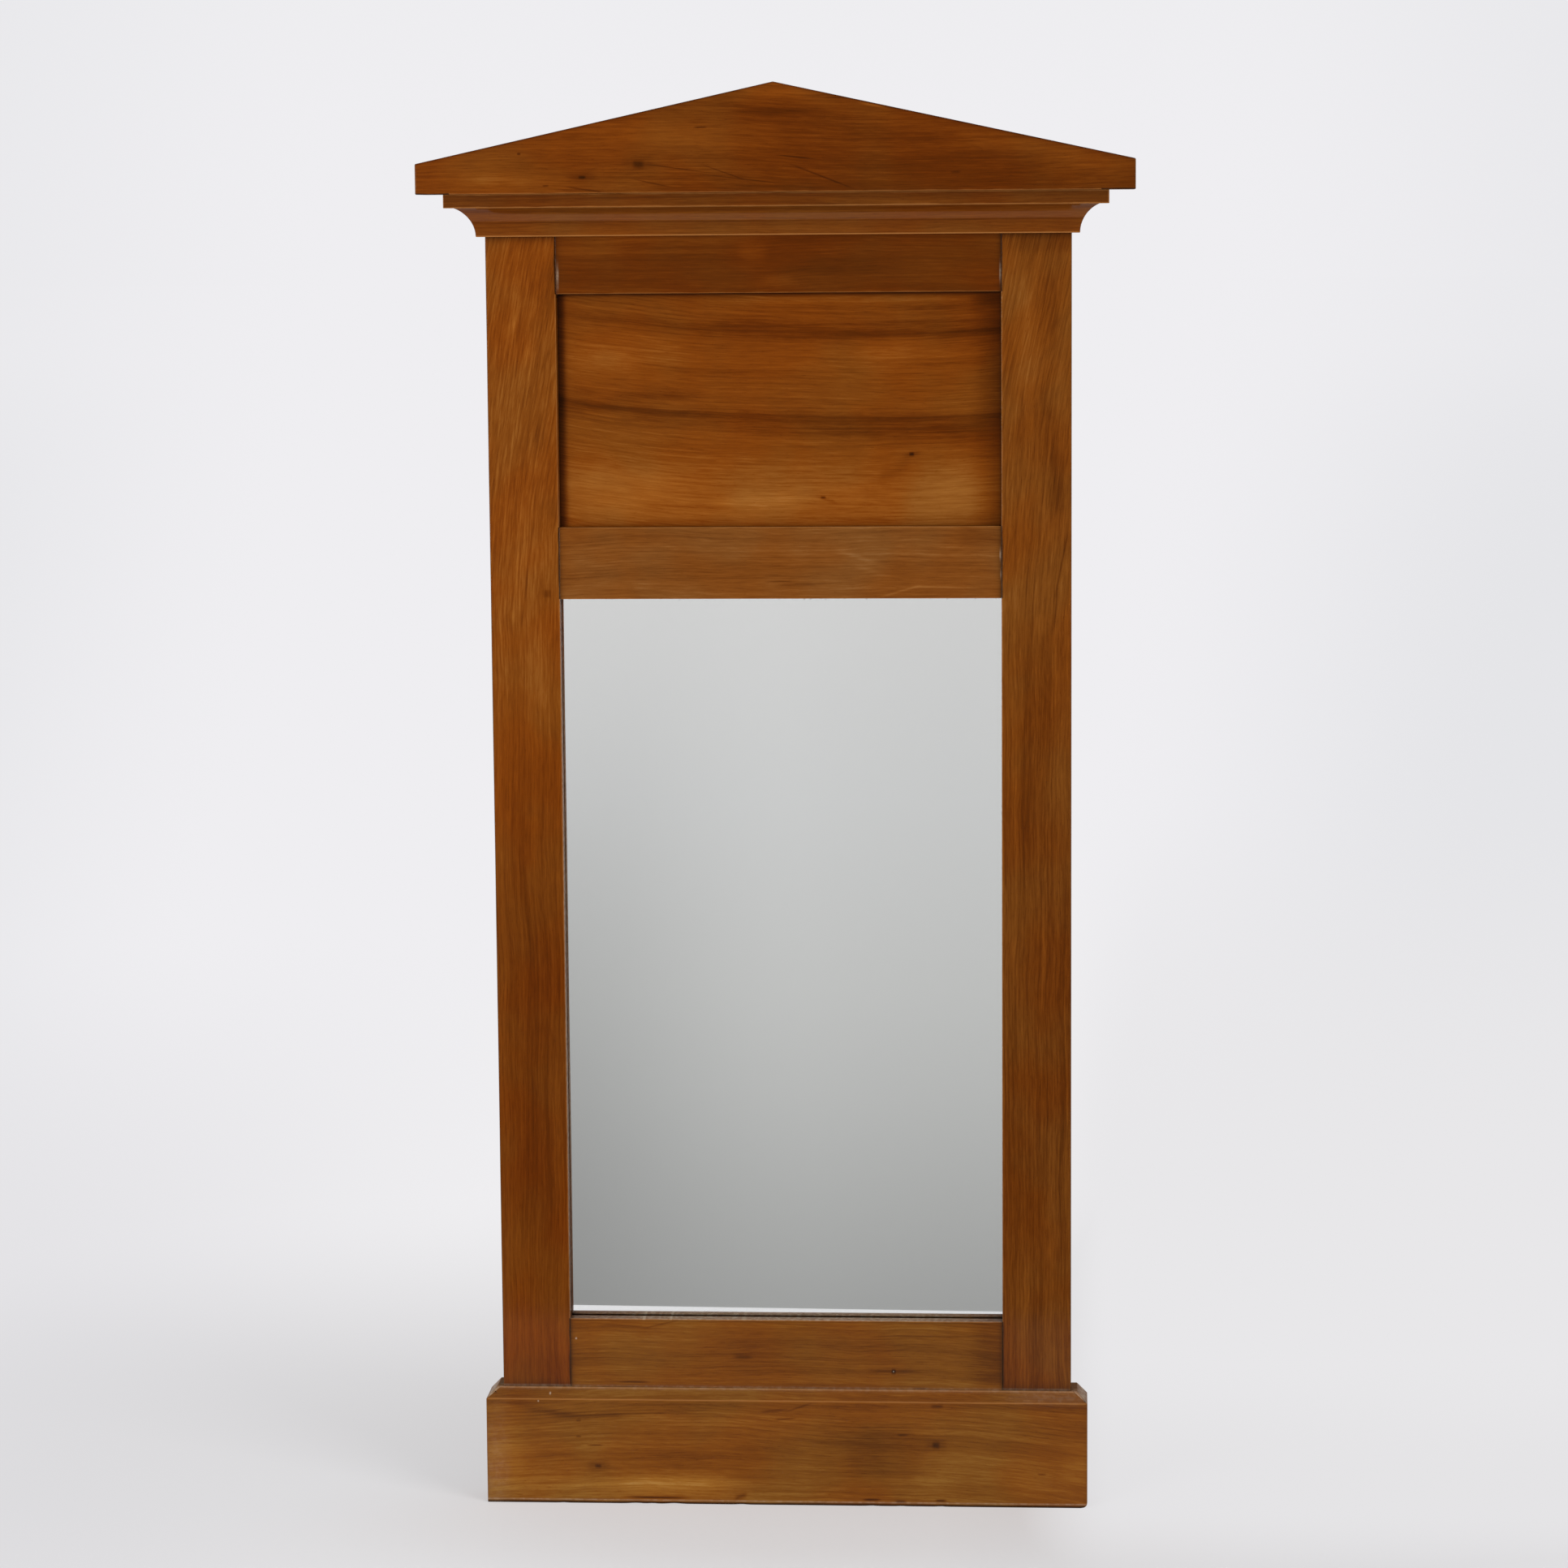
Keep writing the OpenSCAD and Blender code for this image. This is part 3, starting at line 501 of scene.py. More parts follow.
def fruitwood(name, grain, box, seed, tone=0.6, drift=(0, 1, 0), flow=(0, 0, 0, -10), spots=(), pale=(),
              waviness=1, rings=0.0035, contrast=1, streaky=0.6, mottle=0.15, curl=0, corners=None,
              corner_reach=0.004, corner_depth=0.6, joints=(), edge_lines=(), tint=(1, 1, 1, 1),
              gloss=0.36, polish=0.22, rub=0.45):
    """A polished board. grain is the axis that the grain follows and box the board's two corners.
    drift is (start, end, change): tone changes by that much from start to end along the grain, and
    curl comes in over the same stretch. flow is (apex, slope, curve, least) of the grain group. spots
    and pale are lists of marks, written as mask_of takes them: a spot changes the tone, and a pale mark
    is dust, a wax-filled pin hole, or on a chamfer dust with a painted sheen. corners is the space that
    the neighbours leave open: in its edges grime and old polish gather and painted shade darkens the
    board. joints is a list of (side, start, end): a joint line at that place across the grain, from start
    to end along it. edge_lines is a list of (side, half width, share): a line at that place across the
    grain, rubbed paler with a painted highlight where share is positive, and darkened by grime and
    painted shade where it is negative. rub sets how strongly the arrises are rubbed paler and painted
    with a highlight."""
    made, sheet, place = new_material(name)
    axes = sheet.split(place)
    along, across, depth = (axes[i] for i in DIRECTIONS[grain])
    apex, slope, curve, least = flow
    figure = sheet.group(grain_tree, Along=along, Across=across, Depth=depth, Seed=seed, Apex=apex,
                         Slope=slope, Curve=curve, Least=least, Waviness=waviness, Ring_Spacing=rings)

    def mask_of(middle, side, half_length, half_width, strength, slope=0):
        """A mark's mask and strength, from its place and half sizes in millimetres, along the grain
        and across it, its strength in hundredths, and its slope, or FOLLOW to bend with the grain."""
        follows = slope is FOLLOW
        mask = sheet.group(spot_tree, Along=along, Across=figure["Bent"] if follows else across,
                           Middle_Along=middle * MM, Middle_Across=side * MM,
                           Half_Length=half_length * MM, Half_Width=half_width * MM,
                           Slope=0.0 if follows else slope)["Mask"]
        return mask, strength / 100

    start, end, change = drift
    further = sheet.ease(along, start, end)
    long_lines = {"Streaks": 0.50 * streaky, "Threads": 0.40 * contrast}
    short_lines = {"Flecks": 0.24 * contrast, "Fibres": 0.30 * contrast, "Mottle": mottle}
    dark_lines = {"Lines": -0.10 * contrast, "Pores": -0.09 * contrast}
    value = -sum(long_lines.values()) / 2
    for key, weight in long_lines.items():
        value = sheet.times(figure[key], weight, value)
    if curl:
        value = sheet.times(value, sheet.ease(further, 0, 1, 1, CURLED_SHARE))
        strokes = sheet.times(sheet.minus(figure["Curl"], 0.5), further)
        value = sheet.times(strokes, curl, value)
    value = sheet.plus(value, tone - sum(short_lines.values()) / 2)
    for key, weight in (short_lines | dark_lines).items():
        value = sheet.times(figure[key], weight, value)
    if change:
        value = sheet.times(further, change, value)
    for mark in spots:
        value = sheet.times(*mask_of(*mark), value)
    colour = sheet.blend(1, sheet.ramp(value, TONES), tint, "MULTIPLY")
    hue = sheet.blend(sheet.ease(figure["Mottle"], *HUE_RANGE), REDDER, MORE_GOLDEN)
    colour = sheet.blend(1, colour, hue, "MULTIPLY")

    low, high = box
    patchy = sheet.noise(place, scale=PATCHES, detail=3)
    arris = sheet.group(distance_tree, Place=place, Low=tuple(low), High=tuple(high))["Second"]
    # Paler along the arrises: rubbed wood with a painted highlight on the rounded edge
    rubbed_and_highlit = sheet.times(sheet.ease(arris, sheet.times(patchy, *RUB_HIGHLIGHT_REACH), RUB_HIGHLIGHT_FULL), rub)
    # Darker in the corners, along the joints and on dark edge lines: grime and old polish, with painted
    # shade in the corners and on the edge lines
    grime_and_shade = 0.0
    if corners:
        low, high = corners
        near = sheet.group(distance_tree, Place=place, Low=(low[0], -WIDE, low[1]),
                           High=(high[0], WIDE, high[1]))["Nearest"]
        reach = sheet.times(sheet.plus(patchy, 0.5), corner_reach)
        grime_and_shade = sheet.math("EXPONENT", sheet.math("DIVIDE", sheet.times(near, -1), reach))
        grime_and_shade = sheet.times(grime_and_shade, corner_depth)
    for side, start, end in joints:
        gap = sheet.math("ABSOLUTE", sheet.minus(across, side))
        line = sheet.ease(gap, sheet.times(patchy, *JOINT_REACH), JOINT_FULL)
        from_middle = sheet.math("ABSOLUTE", sheet.minus(along, (start + end) / 2))
        inside = sheet.math("LESS_THAN", from_middle, (end - start) / 2)
        grime_and_shade = sheet.math("MAXIMUM", grime_and_shade, sheet.times(line, sheet.times(inside, JOINT_DEPTH)))
    for side, half_width, share in edge_lines:
        gap = sheet.math("ABSOLUTE", sheet.minus(across, side))
        line = sheet.ease(gap, sheet.times(sheet.plus(patchy, 0.6), half_width), 0)
        line = sheet.times(line, abs(share))
        if share > 0:
            rubbed_and_highlit = sheet.math("MAXIMUM", rubbed_and_highlit, line)
        else:
            grime_and_shade = sheet.math("MAXIMUM", grime_and_shade, line)
    colour = sheet.blend(sheet.times(rubbed_and_highlit, sheet.minus(1, grime_and_shade)), colour, RUBBED_AND_HIGHLIT)
    colour = sheet.blend(grime_and_shade, colour, GRIME_AND_SHADE)
    crumbs = sheet.ease(sheet.noise(place, scale=CRUMBS, detail=3), *CRUMB_RANGE)
    for mark in pale:
        mask, share = mask_of(*mark)
        colour = sheet.blend(sheet.times(mask, sheet.times(crumbs, share)), colour, DUST_AND_SHEEN)

    roughness = sheet.times(grime_and_shade, GRIME_AND_SHADE_ROUGHNESS, sheet.times(figure["Fibres"], 0.10, gloss))
    uneven = sheet.noise(place, scale=WAVES, detail=2)
    relief = sheet.times(figure["Fibres"], 0.06, sheet.times(uneven, 0.5))
    relief = sheet.times(figure["Pores"], -0.12, relief)
    sheet.principled({
        "Base Color": colour, "Roughness": roughness, "IOR": 1.5, "Specular IOR Level": 0,
        "Coat Weight": polish, "Coat Roughness": COAT_ROUGHNESS, "Coat IOR": 1.5,
        "Normal": sheet.bump(relief, 0.35, 0.6 * MM),
    })
    return made

# %% [markdown]
# ## Eased arrises
#
# A planed edge is never left knife sharp: the joiner takes it off with a touch of glasspaper, and two
# centuries of dusting do the rest, more in some places than in others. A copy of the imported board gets
# that edge. Its loose triangles are merged, its flat faces are joined, its long arrises are cut into
# short lengths, and each length gets its own bevel weight from slow noise. A Bevel modifier then rounds
# each one by its weight.

# %% Eased copy
ARRIS_STEP = 9 * MM
LEAST_ARRIS, LEAST_PIECE = 4 * MM, 1.2 * MM
SHARP, FLAT = math.radians(28), math.radians(0.6)
SAME_PLACE, SAME_PLANE = 1e-6, 1e-7
NOISE_WAVES, WAVE_SPREAD, WAVE_GAIN = 5, (0.6, 1.7), 1.6
WEAR_WAVELENGTH = 0.06
LEAST_WEAR, PLAIN_WEAR = 0.2, 0.35


def slow_noise(points, seed, wavelength):
    """Smooth noise round 0.5 at many points at once: the mean of some sine waves in random
    directions, each with its own phase, whose lengths spread round the wavelength."""
    draw = np.random.default_rng(seed)
    direction = draw.normal(size=(NOISE_WAVES, 3))
    direction /= np.linalg.norm(direction, axis=1, keepdims=True)
    pace = 2 * np.pi / (wavelength * draw.uniform(*WAVE_SPREAD, NOISE_WAVES))
    phase = draw.uniform(0, 2 * np.pi, NOISE_WAVES)
    return 0.5 + 0.5 * np.sin(points @ direction.T * pace + phase).mean(1) * WAVE_GAIN


def sharp_edges(shape, least):
    """The edges between two faces that are longer than this and turn by more than SHARP."""
    return [e for e in shape.edges if len(e.link_faces) == 2 and e.calc_length() > least
            and e.calc_face_angle(0) > SHARP]


def flat_faced(node, cuts=()):
    """A node's mesh with its doubles merged and its flat faces joined. cuts are planes, each a point
    and a normal, that divide the faces again where more points are needed."""
    shape = bmesh.new()
    shape.from_mesh(nodes[node].data)
    bmesh.ops.remove_doubles(shape, verts=shape.verts, dist=SAME_PLACE)
    bmesh.ops.dissolve_limit(shape, angle_limit=FLAT, verts=shape.verts, edges=shape.edges)
    for point, normal in cuts:
        bmesh.ops.bisect_plane(shape, geom=[*shape.verts, *shape.edges, *shape.faces], dist=SAME_PLANE,
                               plane_co=point, plane_no=normal)
    return shape


def eased(node, width, seed, cuts=(), wear=None):
    """A copy of a node whose arrises are rounded over this width, in millimetres. wear(points) may move
    the points of its mesh."""
    shape = flat_faced(node, cuts)
    pieces_of = {}
    for arris in sharp_edges(shape, LEAST_ARRIS):
        pieces_of.setdefault(int(arris.calc_length() / ARRIS_STEP), []).append(arris)
    for count, arrises in pieces_of.items():
        if count:
            bmesh.ops.bisect_edges(shape, edges=arrises, cuts=count)
    shape.edges.ensure_lookup_table()
    weight = shape.edges.layers.float.new("bevel_weight_edge")
    chosen = sharp_edges(shape, LEAST_PIECE)
    middles = np.array([(e.verts[0].co + e.verts[1].co) / 2 for e in chosen])
    worn = PLAIN_WEAR + (1 - PLAIN_WEAR) * slow_noise(middles, seed, WEAR_WAVELENGTH)
    for edge, amount in zip(chosen, worn):
        edge[weight] = min(max(amount, LEAST_WEAR), 1.0)
    mesh = bpy.data.meshes.new(node + "_eased")
    shape.to_mesh(mesh)
    shape.free()
    if wear:
        points = np.empty(len(mesh.vertices) * 3, np.float32)
        mesh.vertices.foreach_get("co", points)
        mesh.vertices.foreach_set("co", wear(points.reshape(-1, 3)).astype(np.float32).ravel())
    mesh.polygons.foreach_set("use_smooth", np.ones(len(mesh.polygons), bool))
    mesh.update()
    piece = linked(node + "_eased", mesh)
    rounding = piece.modifiers.new("eased", "BEVEL")
    rounding.limit_method = "WEIGHT"
    rounding.width = width * MM
    rounding.segments = 3
    rounding.use_clamp_overlap = False
    shading = piece.modifiers.new("flat_faces", "WEIGHTED_NORMAL")
    shading.keep_sharp = True
    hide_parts(node)
    return piece


def dress(piece, material):
    """Gives a piece its one material."""
    piece.data.materials.clear()
    piece.data.materials.append(material)


def finish_piece(node, material, slot, width, seed=1, **shaping):
    """Replaces a node by its eased copy, with this material, that rides on the mirror. slot is not used."""
    piece = eased(node, width, int(seed), **shaping)
    dress(piece, material)
    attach(piece, BODY)
    print(piece.name, len(piece.data.vertices), "points before rounding")

# %% [markdown]
# ## Stiles
#
# The stiles run from the table to the cornice with their grain upright. Below, the grain is straight
# and reddish. Towards the top it leans over and curls, and the polish there is more golden. The spots
# are the marks that show: a dark knot, a crack, a gleam.

# %% Stiles
STILE_FLOW = (0.62, 0, -0.30, 0)
RAILS = ("bottom_rail", "middle_rail", "top_rail")
RAIL_SPANS = [[corner.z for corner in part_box(node)] for node in RAILS]
GLASS_MIDDLE, GLASS_HALF = (GLASS_TOP_MM + GLASS_FOOT_MM) / 2, (GLASS_TOP_MM - GLASS_FOOT_MM) / 2
stile_spots = {
    "left_stile": [
        (928, -201, 16, 4, 6, 0.2), (912.5, -204.5, 14, 3.5, 5, 0.2), (891.5, -193, 18, 5, 4, 0.2),
        (906, -177, 7, 3, 5), (842, -184.5, 11, 3, -8, 0.2), (715, -178.7, 3, 3, -16),
        (746, -180, 22, 5.5, 6, 0.1), (745, -199, 50, 8, 6, 0.1), (945, -175, 20, 8, -6),
        (130, 0, 16, FULL, 4), (652, -185, 30, 5, 9), (735, -193, 50, 0.9, -16, 0.13),
        (500, -196, 100, 12, -5, FOLLOW), (300, -190, 120, 16, -5, FOLLOW),
        (170, -200, 50, 12, 5, FOLLOW), (620, 0, 140, FULL, 4),
    ],
    "right_stile": [
        (905, 188, 45, 10, 10), (768, 212, 12, 8, 6, 0.1), (982, 0, 10, FULL, -8),
        (810, 209, 60, 7, -10, -0.12), (789, 210, 14, 4, -5, 0.1), (930, 206, 30, 6, -5),
        (736.5, 214.6, 26, 0.8, -16, 0.2), (704.5, 210.6, 18, 0.8, -16, 0.1), (691, 199, 8, 4, 8),
        (600, 196, 100, 14, -6, FOLLOW), (340, 200, 120, 14, -5, FOLLOW), (140, 186, 50, 6, 7, FOLLOW),
        (620, 0, 140, FULL, 3),
    ],
}
stile_looks = {
    "left_stile": dict(drift=(0.45, 0.80, 0.12), curl=0.60, contrast=0.65, streaky=0.7),
    "right_stile": dict(drift=(0.45, 0.80, 0.08), curl=0.36, contrast=0.8, streaky=0.8,
                        tint=(1, 1.14, 1.5, 1)),
}
for side, node, seed in ((-1, "left_stile", 3.1), (1, "right_stile", 8.4)):
    material = fruitwood(
        node, "z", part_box(node), seed, tone=0.468, mottle=0.14, flow=STILE_FLOW, spots=stile_spots[node],
        pale=[(GLASS_MIDDLE, side * OPEN_MM, GLASS_HALF, 0.3, 40), (PLINTH_TOP_MM, 0, 1.5, FULL, 14)],
        # Painted shade: the corners setting darkens each stile just above the plinth and just under the
        # cove, where grime gathers too, and the edge line paints the shade of its outer side, seen edge-on
        corners=((-WIDE, PLINTH_TOP), (WIDE, COVE_FOOT)), corner_reach=3 * MM,
        joints=[(side * OPEN_X, foot, top) for foot, top in RAIL_SPANS],
        edge_lines=[(side * STILE_X, 1.1 * MM, -0.5)], **stile_looks[node])
    finish_piece(node, material, "stile_cherry", 0.8, seed)

# %% [markdown]
# ## Rails
#
# The three rails are cut from different boards, with their grain across. Their ends meet the stiles in
# joints that have opened by a hair, and grime has settled along them.

# %% Rails
WARM_GREY, OLIVE = (1, 1.28, 2.6, 1), (1, 1.24, 1.25, 1)
rail_looks = {
    "top_rail": dict(
        seed=12.3, tone=0.40, flow=(0, 0.01, 0.02, -10), contrast=0.5, streaky=0.5, mottle=0.10, rub=0.3,
        pale=[(1.7 - OPEN_MM, 956, 0.9, 7, 36), (OPEN_MM - 0.8, 957, 0.7, 6, 32)],
        spots=[
            (-19, 973, 10, 7, 8), (1, 952.5, 13, 3.5, 8), (49, 965, 50, 12, -5), (-144, 976, 30, 8, 7),
            (-80, 983, 80, 4, 9),
        ]),
    "middle_rail": dict(
        seed=21.7, tone=0.58, flow=(0, 0, 0.03, -10), contrast=0.7, streaky=0.6, mottle=0.10,
        tint=WARM_GREY, pale=[(OPEN_MM - 0.9, 744, 0.6, 4, 30), (OPEN_MM - 0.6, 729, 0.5, 3, 26)],
        spots=[
            (61, 742, 18, 2.2, 7, -0.35), (70, 732, 14, 2.2, 6, -0.35), (14.4, 721.2, 16, 1.4, -15),
            (1, 724, 10, 0.8, -12), (93, 716.5, 14, 1, 13, 0.28), (126, 719.3, 24, 1.2, 12, -0.04),
            (158, 757, 20, 10, -7),
        ]),
    "bottom_rail": dict(
        seed=33.9, tone=0.54, flow=(-0.08, 0, 0.10, -10), contrast=0.75, streaky=0.9, mottle=0.16,
        tint=OLIVE, edge_lines=[(GLASS_FOOT - 1.6 * MM, 0.9 * MM, -0.3)],
        pale=[(-164.5, 130, 0.7, 0.7, 90), (84.1, 105.5, 0.4, 0.4, 80),
              (0, GLASS_FOOT_MM, OPEN_MM, 0.4, 60), (0, PLINTH_TOP_MM, FULL, 1.2, 14),
              (-111, GLASS_FOOT_MM, 1.2, 0.6, 90), (-90, GLASS_FOOT_MM, 1, 0.5, 90)],
        spots=[
            (-110, 125, 60, 30, 6), (172, 118, 26, 40, -13), (84.1, 105.5, 1.6, 1.8, -35),
            (84.1, 105.5, 18, 0.9, -16), (-33.8, 116.3, 7, 1.8, -16), (-119, 95.5, 11, 0.8, -20),
            (-127, 140.5, 20, 0.8, -14, -0.08), (-97, 142, 14, 0.8, -14, 0.25),
            (112, 134, 40, 0.8, -13), (105, 92, 6, 1, -14),
        ]),
}
for node, look in rail_looks.items():
    low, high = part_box(node)
    shown = Vector((-OPEN_X, low.y, low.z)), Vector((OPEN_X, high.y, high.z))
    material = fruitwood(node, "x", shown, corners=((-OPEN_X, low.z - WIDE), (OPEN_X, high.z + WIDE)),
                         corner_reach=1.6 * MM, corner_depth=0.85, **look)
    finish_piece(node, material, "rail_cherry", 0.7, look["seed"])

# %% [markdown]
# ## Panel
#
# The panel is the showpiece of the frame: a wide board whose figure sweeps down from the left, flattens
# and rises again. Two dark reddish bands cross it, with a golden one along its top edge, and two small
# knots sit low on the right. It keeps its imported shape, because only its flat face shows.

# %% Panel
PANEL_FLOW = (0.076, 0, -0.30, -10)
# Painted shadows among the marks: (0, 942.5) is the top rail's shadow along the panel's top edge, and the
# last two are the shade that the stiles cast on its left and right edges; the corners setting below adds
# painted shade round the recess, with grime
panel_spots = [
    (40, 937.8, 90, 2.8, 14), (120, 932, 35, 3.5, -8), (-20, 912.5, 300, 6, -8, FOLLOW),
    (130, 912.5, 110, 3, -11, 0.02), (100, 920, 120, 1.2, -8, 0.02), (166, 937, 18, 5, -14),
    (-115, 897, 50, 16, 10), (79, 896, 22, 12, 7), (100, 835, 70, 9, -11, -0.05),
    (0, 845, 400, 2.6, -10, FOLLOW), (0, 839.5, 400, 8, -8, FOLLOW), (20, 773, 180, 8, 7),
    (0, 942.5, FULL, 1.4, -16), (-105, 854.5, 60, 1.8, -8, -0.07), (-108, 797.7, 45, 14, 9, -0.1),
    (20, 790, 140, 18, 6), (147, 797, 35, 18, 7), (-140, 775, 60, 10, 5), (100.7, 820.1, 1.8, 1.4, -34),
    (101, 820, 6, 2, -12, 0.2), (87.4, 808, 12, 6, -8, 0.5), (33.1, 787.3, 1.8, 0.9, -34),
    (36, 785.5, 7, 1.2, -10, -0.3), (-29, 920, 22, 5, -8), (110, 919.5, 40, 4, -7),
    (-138, 892.5, 30, 11, 7), (50, 893, 100, 9, 6), (100, 906, 22, 7, 7), (-93, 865.5, 30, 4, -9),
    (-128, 851.5, 18, 3.5, 8), (20, 838.5, 40, 4, -6), (135, 838.5, 22, 4, -7), (-155, 797.5, 18, 9, 8),
    (-130, 784, 28, 6, 8), (-12, 784, 36, 7, 11), (0, 795, 400, 45, 9), (-OPEN_MM, 850, 5.5, FULL, -25),
    (OPEN_MM, 850, 20, FULL, -12),
]
material = fruitwood("frieze_panel", "x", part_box("frieze_panel"), 41.2, tone=0.53, flow=PANEL_FLOW,
                     spots=panel_spots, mottle=0.10, contrast=0.75, streaky=0.30, waviness=0.7, rub=0,
                     corners=((-OPEN_X, PANEL_FOOT - 5 * MM), (OPEN_X, PANEL_TOP)),
                     corner_reach=1.6 * MM, corner_depth=0.8)
dress(nodes["frieze_panel"], material)
print("marks on the panel:", len(panel_spots))

# %% [markdown]
# ## Plinth
#
# The plinth has had the hardest life. Its front shows knots and short dark dashes, its foot is chipped,
# and its lower right corner is rubbed round. The chips are real dents: the board is cut finely along
# its foot, and a dent pushes the points near its middle inwards and up.

# %% Plinth
CHAMFER = 8 * MM
plinth_low, plinth_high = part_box("plinth_front")
RIGHT_CORNER = Vector((plinth_high.x, plinth_low.y, plinth_low.z))
# Each dent of the foot: where its middle is, its half length and its depth, in millimetres
FOOT_DENTS = [(-118, 6, 0.8), (-105, 4, 0.6), (-88, 6, 0.9), (-35, 4, 0.6), (67, 4, 0.5), (90, 3, 0.4),
              (121, 3, 0.5), (-175, 3, 0.4)]
DENT_REACH, DENT_RISE = 4 * MM, 0.4
CORNER_REACH, CORNER_DENT, CORNER_PULL = 5 * MM, 1.4 * MM, 0.8
CUT_STEP = 3 * MM
CUT_HEIGHTS, CUT_DEPTHS = [z * MM for z in (1.5, 3, 5, 8)], [step * MM for step in (1.5, 3, 5)]


def foot_wear(points):
    """Chips and a rubbed corner. A chip pushes a point inwards by
    depth * (1 - d / reach) * exp(-(s / half length)²), and up by a part of that, where d is the point's
    distance from the foot's front arris and s its distance from the chip's middle."""
    worn = points.astype(float)
    x, y, z = points.T
    from_arris = np.hypot(y - plinth_low.y, z - plinth_low.z)
    close = np.clip(1 - from_arris / DENT_REACH, 0, 1)
    for middle, half_length, depth in FOOT_DENTS:
        push = depth * MM * close * np.exp(-((x - middle * MM) / (half_length * MM)) ** 2)
        worn[:, 1] += push
        worn[:, 2] += DENT_RISE * push
    sides = np.hypot(x - RIGHT_CORNER.x, z - RIGHT_CORNER.z)
    rub = CORNER_DENT * np.clip(1 - sides / CORNER_REACH, 0, 1) ** 2
    worn[:, 0] -= CORNER_PULL * rub
    worn[:, 2] += rub
    return worn


level_cuts = [((0, 0, z), (0, 0, 1)) for z in CUT_HEIGHTS]
foot_cuts = level_cuts + [((0, plinth_low.y + y, 0), (0, 1, 0)) for y in CUT_DEPTHS]
foot_cuts += [((x, 0, 0), (1, 0, 0)) for x in np.arange(plinth_low.x + CUT_STEP, plinth_high.x, CUT_STEP)]
return_cuts = level_cuts + [((RIGHT_CORNER.x - x, 0, 0), (1, 0, 0)) for x in CUT_DEPTHS]
plinth_spots = [
    (-147.5, 30, 2.4, 1.4, -26), (-147.5, 30.3, 8, 3.4, -14), (-149.6, 46.7, 5.5, 0.5, -30),
    (-162.7, 53.7, 2, 0.7, -20), (-162.5, 66.4, 1.8, 0.8, -18), (-186, 73.5, 28, 3.2, -14, -0.2),
    (-125, 72, 45, 1, -13, 0.05), (-110, 74.5, 60, 3.5, -8, 0.05), (-8.8, 75.8, 10, 1.2, -16, 0.1),
    (10, 78.5, 10, 0.9, -14, 0.35), (-35.6, 6.7, 4.5, 2.2, -20, 0.3), (-224, 35, 18, 30, 8),
    (-140, 16, 100, 10, 11), (-102, 40, 40, 12, -5), (117.3, 49.4, 2.8, 2.6, -24),
    (117.3, 49.4, 8, 4.2, -11), (118.2, 80.6, 4.5, 1.6, -20), (91.3, 57.3, 4, 1, -15),
    (199.7, 26.8, 3, 0.7, -22), (80.2, 43.4, 35, 18, -7), (0, 69.3, 8, 0.7, -20, 0.1),
    (-103, 5.1, 20, 0.8, -42), (152.6, 19.8, 60, 10, 9), (67, 5, 6, 1, -30), (89.5, 3.7, 4, 1, -30),
    (121, 4.9, 4, 1, -30), (150, 55, 120, 22, -5), (-20, 42, 80, 13, -8), (0, 80.5, FULL, 3, -12),
    (-180, 40, 24, 12, -6), (-208, 88, 40, 4, -8), (50, 50, 30, 30, -5), (-85, 18, 45, 9.5, 16),
    (-187, 29, 30, 6, 9), (155, 17, 30, 7, -8), (79, 36, 26, 16, -6), (230, 33, 14, 12, 8),
    (-111, 71.5, 20, 3, 10), (-15, 44, 30, 5, -7), (79, 59.5, 20, 4, -8), (-20, 67, 45, 2.2, 6),
]
plinth_pale = [
    (-194, 82, 0.6, 0.6, 70), (-185, 87.2, 0.7, 0.7, 90), (-230, 30, 12, 40, 7), (205, 87, 30, 4, 10),
    (0, PLINTH_TOP_MM, FULL, 1.2, 20), (0, 2.9, FULL, 0.6, 26),
]
# Painted light on the plinth: the corners setting darkens both ends with painted shade and grime; the first
# and last edge lines are painted highlights with rubbed wood on the chamfer's lower arris and the top
# arris; the second is a painted shadow along the foot where it meets the table
material = fruitwood("plinth", "x", (plinth_low, plinth_high), 55.6, tone=0.61, contrast=0.78, tint=OLIVE,
                     flow=(-0.03, 0, 0.22, -10), spots=plinth_spots, pale=plinth_pale, mottle=0.12,
                     rings=0.0042, rub=0.7, corners=((plinth_low.x, -WIDE), (plinth_high.x, WIDE)),
                     corner_reach=0.8 * MM, corner_depth=0.6,
                     edge_lines=[(PLINTH_TOP - CHAMFER, 0.8 * MM, 0.7), (0.7 * MM, 2.0 * MM, -0.95),
                                 (PLINTH_TOP - 0.6 * MM, 0.6 * MM, 0.5)])
finish_piece("plinth_front", material, "plinth_cherry", 0.7, seed=5, cuts=foot_cuts, wear=foot_wear)
# Paler along the returns' chamfers: dust, with a painted sheen where they face up to the light
chamfer_dust_and_sheen = (0, PLINTH_TOP_MM - CHAMFER / MM / 2, FULL, CHAMFER / MM / 2, 66)
# A dark edge line along each return's foot is a painted shadow where it meets the table
for side, node in ((-1, "plinth_left_return"), (1, "plinth_right_return")):
    material = fruitwood(node, "y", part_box(node), 60.1 + side, tone=0.58, contrast=0.8, mottle=0.12,
                         tint=OLIVE, pale=[chamfer_dust_and_sheen], edge_lines=[(0.4 * MM, 1.1 * MM, -0.9)])
    finish_piece(node, material, "plinth_cherry", 0.7, seed=7 + side, cuts=return_cuts, wear=foot_wear)

# %% [markdown]
# ## Cornice
#
# Three lengths of hollow moulding carry a flat board. The grain runs along each length. The lower lip
# of the hollow catches the light as a thin bright line on its rounded arris, and a painted highlight
# lies on the rubbed wood there. Bands of painted light and shade run along the hollow.

# %% Cornice
cornice_looks = (("cove_front", "x", 71.3, 0.47), ("cove_left_return", "y", 74.8, 0.47),
                 ("cove_right_return", "y", 77.2, 0.47), ("cornice_board", "x", 82.5, 0.45))
